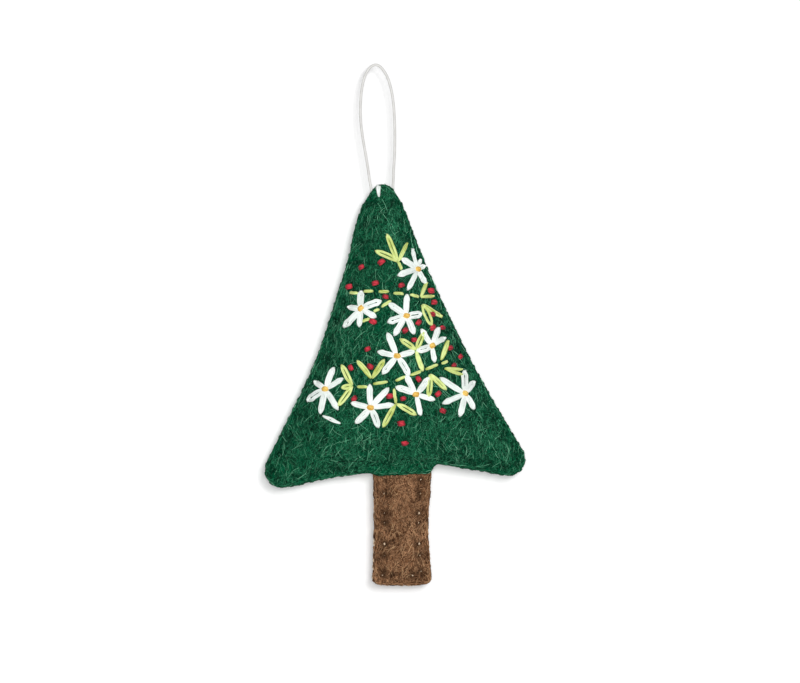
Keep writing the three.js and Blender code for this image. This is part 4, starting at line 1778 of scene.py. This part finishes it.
SPRAYS = (
    Spray(
        "upper_garland",
        (((-0.79, 0.361), (-0.61, 0.364)), ((-0.51, 0.359), (-0.31, 0.359)),
         ((-0.20, 0.362), (0.02, 0.363)), ((0.11, 0.369), (0.32, 0.374)),
         ((0.45, 0.377), (0.62, 0.387))),
        (Daisy((0.65, 0.387), ((60, 4.5, 0.7), (0, 4, 0.6))),),
    ),
    Spray(
        "lower_garland",
        (((-0.41, 0.678), (-0.29, 0.680)), ((-0.23, 0.671), (-0.06, 0.666)), ((0.03, 0.664), (0.15, 0.651)),
         ((0.21, 0.648), (0.36, 0.635)), ((0.41, 0.631), (0.59, 0.616)), ((0.64, 0.614), (0.73, 0.607))),
        (
            Daisy((0.34, 0.566), ((140, 5.5), (65, 5.5), (285, 6))),
            Daisy((0.64, 0.604), ((65, 6),)),
            Daisy((0.65, 0.630), ((352, 5.2, 0.6), (335, 5.5, 0.6))),
            Daisy((0.45, 0.646), ((265, 6.5), (310, 6.5))),
            Daisy((-0.25, 0.654), ((125, 6.5), (55, 6.5))),
            Daisy((-0.46, 0.673), ((115, 6.5), (190, 3), (235, 7))),
        ),
    ),
    Spray("twig", (((0.05, 0.394), (-0.14, 0.414)), ((-0.18, 0.421), (-0.28, 0.428)),
                   ((-0.34, 0.451), (-0.46, 0.460)))),
    Spray(
        "top_sprig",
        sprigs=(Daisy((0.32, 0.265), ((150, 7), (110, 8.5), (60, 6, 0.72))),),
        stems=(((0.32, 0.265), (290, 2.5)),),
    ),
    Spray("side_sprig", sprigs=(Daisy((0.63, 0.411), ((290, 6.5, 1.32), (325, 7, 0.8))),)),
    Spray(
        "bottom_sprig",
        sprigs=(Daisy((0.02, 0.741), ((240, 7.5), (330, 6.5))),),
        stems=(((0.02, 0.741), (95, 4.5)),),
    ),
)
STRAY_STITCH = ((-0.71, 0.769), (-0.51, 0.799))
FOOT_HOLE = Hole((-2.4, -81.6))  # a dimple in the felt over the trunk, with painted shade in it


@dataclass
class Embroidery:
    """The flowers, leaves and berries worked on the front panel in stranded floss."""

    cut: TreeCut
    petal_width: float = 1.88
    leaf_width: float = 1.72
    floss_width: float = 1.02
    leaf_floss: float = 0.82
    strand: float = 0.185  # radius of one strand
    strands: int = 5
    lift: float = 0.3
    vine_width: float = 0.98
    berry_width: float = 1.72
    eye_width: float = 1.75
    draw: Place = (0.967, 0.9955)  # how the swell draws the flat places together
    shift: Place = (-0.35, 0.15)
    seed: int = 11

    PETALS, LEAVES, KNOTS = (0.82, 1.12), (0.9, 1.08), (0.88, 1.14)  # shares of their usual width
    PETAL_GAP, LEAF_GAP = 0.25, 0.1
    LEAF_FULL = 0.6  # most of a leaf's width that its floss takes
    TWIST, CROWN = (0.5, 1.6), 0.13  # half the angle that a floss winds through, and how high
    WOBBLE, BOW = 1.5, 0.12  # how far a loop strays, in degrees and sideways
    ROUND, TAPER = 0.75, 0.7  # powers that round its end and narrow its start
    FULL_AT, END_AT = 0.42, 0.97  # where along it is full, and where its floss turns
    EYELET, EYELET_AT, EYELET_REACH = (0.2, 1.0), 0.82, 0.08  # shares of its gap, and where that is
    DIVE, DIVE_REACH = 0.75, 0.45  # how far floss goes down, and how near to its hole
    TACK_AT, TACK_RUN, TACK_PAST = 0.9, 0.1, 0.35  # its small stitch: shares of the loop, and past it
    TACK_HEIGHT, TACK_WIDTH = (-0.25, 0.95), (0.35, 0.2)  # at its holes, and more in its middle
    STITCH_SUNK, STITCH_RISE, STITCH_ENDS = -0.3, 0.33, 0.15  # its ends, its middle, its width there
    KNOT_STRAND = 0.11  # radius of a knot's strand, as a share of its width
    KNOT_REACHES, KNOT_SLIP = (0.39, 0.49), 0.07  # of a turn, and how far it is off the middle
    KNOT_RISE, KNOT_SUNK, KNOT_CREST = 0.3, 0.08, 0.1  # of its turns, and of the middle one
    KNOT_APART, KNOT_BULGE = 0.17, 0.07  # of its turns, and more on top
    KNOT_PLY, KNOT_LAY = 0.1, 1.5
    KNOT_DENT, KNOT_REACH = 0.5, 1.3  # how far a berry draws the felt in, which also sets the painted shade round it
    EYE_BASE, BERRY_BASE = 0.35, 0.15  # height that a knot sits at
    STRAY_WIDTH, STRAY_FULLNESS = 1.3, 1.4

    def __post_init__(self) -> None:
        """Starts the draws."""
        self.rng = np.random.default_rng(self.seed)
        self.face: Face | None = None

    def holes(self) -> list[Hole]:
        """Finds the needle holes in the front panel.

        Returns:
            The holes.
        """
        found: list[Array] = []
        for flower in DAISIES + tuple(sprig for spray in SPRAYS for sprig in spray.sprigs):
            middle = self.spot(*flower.at)
            found.append(middle)
            for degrees, length, *_ in flower.petals:
                found.append(middle + length * self.heading(degrees))
        for spray in SPRAYS:
            for pair in spray.vine:
                found += [self.spot(*end) for end in pair]
        spots = [tuple(self.spot(*berry)) for berry in BERRIES]
        knots = [Hole(spot, self.KNOT_DENT, self.KNOT_REACH) for spot in spots]
        return [Hole(tuple(place)) for place in found] + knots

    def spot(self, across: float, down: float) -> Array:
        """Returns the flat place of a stitch, drawn in a little by the swell."""
        return self.cut.place(across, down) * self.draw + self.shift

    @staticmethod
    def heading(degrees: float) -> Array:
        """Returns the flat direction at an angle from +X."""
        return np.array([math.cos(math.radians(degrees)), math.sin(math.radians(degrees))])

    def bundle(self, line: Array, height: Array, spread: Array, width: float) -> list[Array]:
        """Lays the strands of one floss along a flat line.

        Args:
            line: Flat places of the floss.
            height: Height of its middle over the felt.
            spread: Share of its full width at each place.
            width: Full width of the floss.

        Returns:
            The middle line of each strand.
        """
        ahead = unit(np.gradient(line, axis=0))
        beside = np.column_stack([-ahead[:, 1], ahead[:, 0]])
        reach = width / 2 - self.strand
        run = np.linspace(0.0, 1.0, len(line))
        first = self.rng.uniform(0.0, 2 * math.pi)
        twist = self.rng.uniform(*self.TWIST)
        routes = []
        for i in range(self.strands):
            turn = first + 2 * math.pi * i / self.strands + twist * 2 * run
            flat = line + beside * (reach * np.cos(turn) * spread)[:, None]
            routes.append(self.face.above(flat, height + self.CROWN * np.sin(turn) * spread))
        return routes

    def loop(self, hole: Array, degrees: float, length: float, width: float,
             floss: float, gap: float) -> list[Array]:
        """Works one looped stitch and the small stitch that ties its end down.

        Args:
            hole: Flat place where it starts and ends.
            degrees: Its direction.
            length: Its length.
            width: Its full width.
            floss: Width of its floss.
            gap: Most that its two sides part near the end.

        Returns:
            The middle lines of its strands.
        """
        ahead = self.heading(degrees + self.rng.normal(0.0, self.WOBBLE))
        beside = np.array([-ahead[1], ahead[0]])
        turn = np.linspace(0.0, 2 * math.pi, 39)
        along = (1 - np.cos(turn)) / 2
        body = np.abs(np.sin(turn)) ** self.ROUND * smooth(along / self.FULL_AT) ** self.TAPER
        eyelet = gap * self.rng.uniform(*self.EYELET) * bell(along - self.EYELET_AT, self.EYELET_REACH)
        across = np.sign(np.sin(turn)) * ((width - floss) / 2 * body + eyelet)
        bow = self.rng.normal(0.0, self.BOW) * np.sin(math.pi * along)
        line = hole + np.outer(along * length * self.END_AT, ahead) + np.outer(across + bow, beside)
        dive = self.DIVE * bell(along * length, self.DIVE_REACH)
        routes = self.bundle(line, self.lift - dive, 1 - dive, floss)
        tie = np.linspace(0.0, 1.0, 9)
        tack_run = self.TACK_RUN * length + self.TACK_PAST
        tack = hole + np.outer(length * self.TACK_AT + tie * tack_run, ahead)
        tack = tack + bow[len(bow) // 2] * beside
        height, spread = (low + more * arched(tie, 2.5) for low, more in (self.TACK_HEIGHT, self.TACK_WIDTH))
        return routes + self.bundle(tack, height, spread, floss)

    def straight(self, start: Array, end: Array, width: float, fullness: float = 5.0) -> list[Array]:
        """Works one straight stitch.

        Args:
            start, end: Flat places of its two holes.
            width: Its full width.
            fullness: How far its full width reaches towards its ends.

        Returns:
            The middle lines of its strands.
        """
        t = np.linspace(0.0, 1.0, 19)
        line = start + np.outer(t, end - start)
        height = self.STITCH_SUNK + (self.lift + self.STITCH_RISE) * arched(t, 5)
        spread = self.STITCH_ENDS + (1 - self.STITCH_ENDS) * arched(t, fullness)
        return self.bundle(line, height, spread, width)

    def knot(self, face: Face, at: Array, width: float, base: float) -> list[Array]:
        """Winds one knot: three fat turns of floss side by side, drawn down into the felt.

        Args:
            face: The felt below.
            at: Its flat place.
            width: Its width.
            base: Height that it sits at.

        Returns:
            The middle lines of its plies.
        """
        normal = face.normal(at[None])[0]
        across = np.cross(normal, (0.0, 0.0, 1.0))
        across /= np.linalg.norm(across)
        up = np.cross(across, normal)
        lie = self.rng.normal(1.5, 0.5)
        axis = math.cos(lie) * across + math.sin(lie) * up
        lengthwise = np.cross(normal, axis)
        angle = np.linspace(-0.1, math.pi + 0.1, 21)
        routes = []
        for side in (-1, 0, 1):
            reach = width * self.rng.uniform(*self.KNOT_REACHES)
            slip = width * self.rng.uniform(-self.KNOT_SLIP, self.KNOT_SLIP)
            out = slip - reach * np.cos(angle)
            crest = self.KNOT_CREST * (side == 0)
            rise = base + width * (self.KNOT_RISE * np.sin(angle) - self.KNOT_SUNK + crest)
            apart = side * width * (self.KNOT_APART + self.KNOT_BULGE * np.sin(angle))
            line = face.above(at[None], 0.0) + np.outer(out, lengthwise) + np.outer(apart, axis)
            line = line + np.outer(rise, normal)
            routes += plied(line, 4, self.KNOT_PLY * width, self.KNOT_LAY * width)
        return routes

    def piece(self, name: str, routes: list[Array], radius: float, finish: Floss, slot: str,
              node: str | None = None) -> Piece:
        """Makes strands into a finished piece, which may stand for a node."""
        strands = Bench.strands(name, [self.cut.in_frame(route) for route in routes], radius * MM)
        return finish.hand_over(strands, slot, node)

    def build(self, face: Face) -> None:
        """Works the whole embroidery on the front panel.

        Args:
            face: The felt below.
        """
        self.face = face
        for spray in SPRAYS:
            routes = self.spray(spray)
            self.piece(spray.node + "_floss", routes, self.strand, LIME_FLOSS, "lime_floss", spray.node)
        for i, flower in enumerate(DAISIES, 1):
            middle = self.spot(*flower.at)
            routes = []
            for degrees, length, *wide in flower.petals:
                width = self.petal_width * (wide[0] if wide else self.rng.uniform(*self.PETALS))
                routes += self.loop(middle, degrees, length, width, self.floss_width, self.PETAL_GAP)
            self.piece(f"daisy_{i}_floss", routes, self.strand, WHITE_FLOSS, "white_floss", f"daisy_{i}")
            eye = self.knot(face, middle, self.eye_width, self.EYE_BASE)
            self.paint_knot_shade(self.piece(f"daisy_eye_{i}_floss", eye, self.KNOT_STRAND * self.eye_width,
                                       YELLOW_FLOSS, "yellow_floss", f"daisy_eye_{i}"))
        for i, berry in enumerate(BERRIES, 1):
            width = self.berry_width * self.rng.uniform(*self.KNOTS)
            knot = self.knot(face, self.spot(*berry), width, self.BERRY_BASE)
            node = f"berry_{i}" if i <= BERRY_NODES else None
            self.paint_knot_shade(self.piece(f"berry_{i}_floss", knot, self.KNOT_STRAND * width,
                                       RED_FLOSS, "red_floss", node))
        ends = [self.spot(*end) for end in STRAY_STITCH]
        stray = self.straight(*ends, self.STRAY_WIDTH, self.STRAY_FULLNESS)
        self.piece("stray_stitch_floss", stray, self.strand, WHITE_FLOSS, "white_floss")

    @staticmethod
    def paint_knot_shade(knot: Piece) -> None:
        """Paints shade on a knot's turns towards the felt, where they press together, and leaves its top
        lighter as a painted highlight.

        Args:
            knot: The knot.
        """
        depth = Bench.points(knot)[:, 1]
        height = (depth.max() - depth) / np.ptp(depth)
        tone = 0.2 + 0.8 * Bench.carried(knot, "tone")
        # painted shade low on the knot and painted highlight on its top, by height over the felt
        Bench.carry(knot, "tone", tone * smooth((height - 0.55) / 0.4))

    def spray(self, spray: Spray) -> list[Array]:
        """Works the stitches, stems and leaves of one spray.

        Args:
            spray: The spray.

        Returns:
            The middle lines of its strands.
        """
        routes: list[Array] = []
        for start, end in spray.vine:
            routes += self.straight(self.spot(*start), self.spot(*end), self.vine_width)
        for at, (degrees, length) in spray.stems:
            start = self.spot(*at)
            routes += self.straight(start, start + length * self.heading(degrees), self.vine_width)
        for sprig in spray.sprigs:
            middle = self.spot(*sprig.at)
            for degrees, length, *wide in sprig.petals:
                width = self.leaf_width * (wide[0] if wide else self.rng.uniform(*self.LEAVES))
                floss = min(self.leaf_floss, self.LEAF_FULL * width)
                routes += self.loop(middle, degrees, length, width, floss, self.LEAF_GAP)
        return routes


@dataclass
class HangingLoop:
    """The cord loop, sewn in between the panels at the tip, and the stitch that ties it down."""

    cut: TreeCut
    diameter: float = 0.8
    leg: float = 3.2  # from the middle line
    seat: float = -0.894  # where the swing's axis runs, from the tip
    sewn_in: float = 2.6  # length of cord below that
    swing_run: float = 2.2  # stretch above and below the swing's axis
    tie_diameter: float = 1.45
    tie_offset: float = -1.2
    tie_length: float = 3.4
    knot_drop: float = 6.5
    knot_width: float = 2.8
    route: tuple[Place, ...] = (
        (-3.5, 1.3), (-3.8, 4.4), (-4.2, 8.1), (-4.7, 12.0), (-5.1, 15.6), (-5.3, 18.6), (-5.3, 21.8),
        (-5.0, 25.6), (-4.3, 29.6), (-3.3, 32.5), (-1.9, 34.6), (-0.2, 35.4), (1.3, 34.7), (2.6, 32.8),
        (3.6, 30.2), (4.3, 26.5), (4.6, 22.3), (4.6, 16.7), (4.4, 12.5), (4.1, 8.2), (3.6, 4.1), (3.4, 1.3),
    )

    def line(self) -> Array:
        """Leads the cord from between the panels round its loop and back.

        Returns:
            Its middle line in metres.
        """
        low = self.seat - self.sewn_in
        places = [(-self.leg + 0.2, low), (-self.leg, self.seat), *self.route,
                  (self.leg, self.seat), (self.leg - 0.2, low)]
        return self.cut.in_frame(through([(x, 0.0, z) for x, z in places], 0.5))

    def build(self) -> Piece:
        """Makes the cord in place of its node.

        Returns:
            The cord.
        """
        line = self.line()
        cord = Bench.strands("hanging_loop_cord", [line], self.diameter / 2 * MM, 3)
        WHITE_CORD.dress(cord, "white_cord")
        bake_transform(cord)
        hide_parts("hanging_loop")
        length = float(runs_along(line)[-1])
        tuple(line[0])
        LOG.info("%s: %.1f mm of cord", cord.name, length / MM)
        return cord

    def build_tie(self, faces: Faces, work: Embroidery) -> Piece:
        """Makes the stitch over the tip and its knot at the back.

        Args:
            faces: The finished faces of the tree.
            work: The embroidery, whose knot it uses.

        Returns:
            The stitch.
        """
        def over(side: Side, rows: Sequence[Place]) -> list[Array]:
            """Returns points on a face from their heights along it and over it."""
            return [faces[side].above(np.array([[self.tie_offset, z]]), rise)[0] for z, rise in rows]

        end, drop = self.tie_length, self.knot_drop
        rim = FIT / 2 + 0.7 * self.cut.felt
        points = over(Side.FRONT, [(-end, -0.4), (0.5 - end, 0.2), (-end / 2, 0.42), (-0.7, 0.35)])
        points += [np.array([self.tie_offset, y, -0.6]) for y in (-rim, rim)]
        points += over(Side.BACK, [(-0.7, 0.35), (-drop / 2, 0.35), (-drop, 0.2)])
        line = through(points, 0.3)
        run = np.linspace(0.0, 1.0, len(line))
        routes = plied(line, 4, self.tie_diameter * 0.32, 12.0, smooth(run / 0.22) ** 0.8)
        routes += work.knot(faces[Side.BACK], np.array([self.tie_offset, -drop]), self.knot_width, 0.1)
        strand = self.tie_diameter * 0.23
        return work.piece("loop_tie_cord", routes, strand, WHITE_FLOSS, "white_cord", "loop_tie")


@dataclass
class FibreFill:
    """A filling of loose fibre, packed into a pad."""

    node: str
    voxel: float
    roughness: float

    LUMP_SIZE = 4.0
    SHRINK = 0.6  # how far it stays below its solid, as a share of its roughness

    def build(self) -> Piece:
        """Makes the filling in place of its node.

        Returns:
            The filling.
        """
        fill = Bench.add(self.node + "_fibre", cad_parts[self.node].data.copy())
        Bench.weld(fill, 1e-6)
        Bench.finish(fill, "REMESH", mode="VOXEL", voxel_size=self.voxel * MM)
        points, normals = Bench.points(fill), Bench.normals(fill)
        lumps = bumps(points, self.LUMP_SIZE * MM)
        Bench.move(fill, points + normals * (self.roughness * MM * (lumps - self.SHRINK))[:, None])
        Bench.shade_smooth(fill)
        FIBRE_FILL.hand_over(fill, "fibre_fill", self.node)
        return fill


@dataclass(frozen=True)
class Lamp:
    """A soft square lamp: its name, place, size and power."""

    name: str
    place: tuple[float, float, float]
    size: float
    power: float


@dataclass
class Studio:
    """Camera, soft light and the white sheet that the ornament lies against."""

    target: tuple[float, float, float] = (0.00313, 0.0, -0.0810)
    distance: float = 1.304
    lens: float = 200.0
    azimuth: float = -5.0
    roll: float = -2.75
    world: float = 0.2
    lamps: tuple[Lamp, ...] = (
        Lamp("key_lamp", (0.08, -1.3, 0.08), 0.18, 7.2),
        Lamp("fill_lamp", (-0.1, -1.5, -0.06), 0.25, 11.9),
        Lamp("back_lamp", (-0.25, 1.3, 0.14), 0.4, 13.0),
    )
    sheet_y: float = 0.0118
    sheet_size: float = 0.5
    paper: float = 0.8
    paper_glow: float = 0.2  # seen by the camera alone

    def camera(self) -> None:
        """Sets up the camera."""
        data = bpy.data.cameras.new("camera")
        data.lens = self.lens
        data.sensor_width = 36.0
        data.clip_start, data.clip_end = 0.01, 20.0
        camera = Bench.add("camera", data)
        turn = math.radians(self.azimuth)
        back = Vector((math.sin(turn), -math.cos(turn), 0.0))
        camera.location = Vector(self.target) + back * self.distance
        camera.rotation_mode = "QUATERNION"
        upright = (-back).to_track_quat("-Z", "Y")
        camera.rotation_quaternion = upright @ Quaternion((0.0, 0.0, 1.0), math.radians(self.roll))
        bpy.context.scene.camera = camera

    def hang(self, lamp: Lamp) -> None:
        """Hangs a lamp that faces the ornament.

        Args:
            lamp: The lamp.
        """
        data = bpy.data.lights.new(lamp.name, "AREA")
        data.shape = "SQUARE"
        data.size = lamp.size
        data.energy = lamp.power
        obj = Bench.add(lamp.name, data)
        obj.location = lamp.place
        aim = Vector(self.target) - Vector(lamp.place)
        obj.rotation_euler = aim.to_track_quat("-Z", "Y").to_euler()

    def surroundings(self) -> None:
        """Makes a world that lights evenly and looks white."""
        world = bpy.data.worlds.new("white_room")
        bpy.context.scene.world = world
        graph = Graph(world)
        seen = graph.node("ShaderNodeLightPath", out=Ray.CAMERA.value)
        for ray in (Ray.GLOSSY, Ray.TRANSMISSION):
            seen = graph.math("MAXIMUM", seen, graph.node("ShaderNodeLightPath", out=ray.value))
        white = {"Color": (1.0, 1.0, 1.0, 1.0)}
        lit = graph.node("ShaderNodeBackground", inputs={**white, "Strength": self.world})
        shown = graph.node("ShaderNodeBackground", inputs={**white, "Strength": 1.0})
        either = graph.node("ShaderNodeMixShader", inputs={0: seen, 1: lit, 2: shown})
        graph.node("ShaderNodeOutputWorld", inputs={"Surface": either})

    def sheet(self) -> None:
        """Lays the white sheet behind the tree, to take its shadow; it is clear unless it faces forward."""
        place = (self.target[0], self.sheet_y, self.target[2])
        upright = (math.pi / 2, 0.0, 0.0)
        bpy.ops.mesh.primitive_plane_add(size=self.sheet_size, location=place, rotation=upright)
        sheet = bpy.context.object
        sheet.name = "white_sheet"
        graph = Graph(bpy.data.materials.new("white_paper"))
        paper = graph.node("ShaderNodeBsdfDiffuse", inputs={"Color": (*[self.paper] * 3, 1.0)})
        glow = graph.node("ShaderNodeEmission", inputs={"Strength": self.paper_glow})
        lit = graph.node("ShaderNodeAddShader", inputs={0: paper, 1: glow})
        clear = graph.node("ShaderNodeBsdfTransparent")
        normal = graph.node("ShaderNodeNewGeometry", out="Normal")
        forward = 0.0 - graph.node("ShaderNodeSeparateXYZ", inputs={0: normal}, out="Y")
        seen = graph.node("ShaderNodeMixShader", inputs={0: forward.ramp(0.5, 0.9), 1: clear, 2: lit})
        graph.node("ShaderNodeOutputMaterial", inputs={"Surface": seen})
        sheet.data.materials.append(graph.holder)
        sheet.visible_shadow = sheet.visible_diffuse = False
        sheet.visible_glossy = sheet.visible_transmission = False
        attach(sheet, TREE_BODY)

    def build(self) -> None:
        """Sets up everything round the ornament."""
        bpy.context.scene.view_settings.view_transform = "Standard"
        self.camera()
        self.surroundings()
        for lamp in self.lamps:
            self.hang(lamp)
        self.sheet()


def seam_end(cut: TreeCut, side: int) -> float:
    """Returns the run from the tip to the trunk, with 1 as side for the right and -1 for the left."""
    limit = side * cut.mouth_middle + cut.mouth_reach + cut.mouth_fade
    return float(cut.runs[np.argmax((cut.right[:, 1] < cut.side_end[1]) & (cut.right[:, 0] < limit))])


def trunk_start(cut: TrunkCut, tree_bite: float, thread: float) -> float:
    """Returns the run of the trunk's seam where it comes out of the tree."""
    return float(cut.runs[np.argmax(cut.right[:, 1] < -thread - tree_bite)])


def build_pad(panels: list[FeltPanel]) -> tuple[list[Piece], Faces]:
    """Makes both panels of a pad, still in the millimetres of their cut, and measures their faces."""
    made = [panel.build() for panel in panels]
    return made, {panel.side: Face(obj, panel.side, panel.cut) for panel, obj in zip(panels, made)}


def main() -> None:
    """Builds the ornament piece by piece."""
    logging.basicConfig(level=logging.INFO, format="%(name)s %(message)s")
    Studio().build()
    tree = TreeCut()
    trunk = TrunkCut(tree)
    loop = HangingLoop(tree)
    loop.build()

    bite, thread, clear, pitch = 1.8, 0.7, 7.0, 6.3
    right = Seam(clear, seam_end(tree, 1), pitch, bite)
    left = Seam(-clear, -seam_end(tree, -1), pitch, bite)
    start = trunk_start(trunk, bite, thread)
    round_foot = Seam(start, 2 * trunk.half_run - start, pitch=4.9, bite=2.6, dent=0.7, dent_width=1.15,
                      uneven=0.2)
    work = Embroidery(tree)

    seams = [right, left]
    holes = [*work.holes(), FOOT_HOLE]
    tree_panels = [
        FeltPanel("front_panel", tree, Side.FRONT, seams, GREEN_FELT, "green_felt", dimples=holes,
                  seed=0.4),
        FeltPanel("back_panel", tree, Side.BACK, seams, GREEN_FELT, "green_felt", seed=7.9),
    ]
    trunk_panels = [
        FeltPanel(f"trunk_{side.name.lower()}_panel", trunk, side, [round_foot], BROWN_FELT, "brown_felt",
                  spacing=0.7, tucked=-0.5, cap=1.2, lump=0.2, seed=2.0 + side.value)
        for side in Side
    ]
    tree_made, tree_faces = build_pad(tree_panels)
    trunk_made, trunk_faces = build_pad(trunk_panels)
    felts = list(zip(tree_panels + trunk_panels, tree_made + trunk_made))
    for panel, obj in felts:
        for coat in TREE_COATS if panel.cut is tree else TRUNK_COATS:
            coat.lay(panel, obj)

    work.build(tree_faces[Side.FRONT])
    loop.build_tie(tree_faces, work)
    for node, seam in (("right_edge_stitching", right), ("left_edge_stitching", left)):
        EdgeThread(node, tree, seam, GREEN_THREAD, "green_thread").build(tree_faces)
    EdgeThread("trunk_stitching", trunk, round_foot, BROWN_THREAD, "brown_thread", glint=0.06,
               hidden=0.45, proud=0.05).build(trunk_faces)

    for panel, obj in felts:
        panel.dress(obj)
    FibreFill("stuffing", voxel=1.6, roughness=0.5).build()
    FibreFill("trunk_stuffing", voxel=0.8, roughness=0.25).build()


if __name__ == "__main__":
    main()
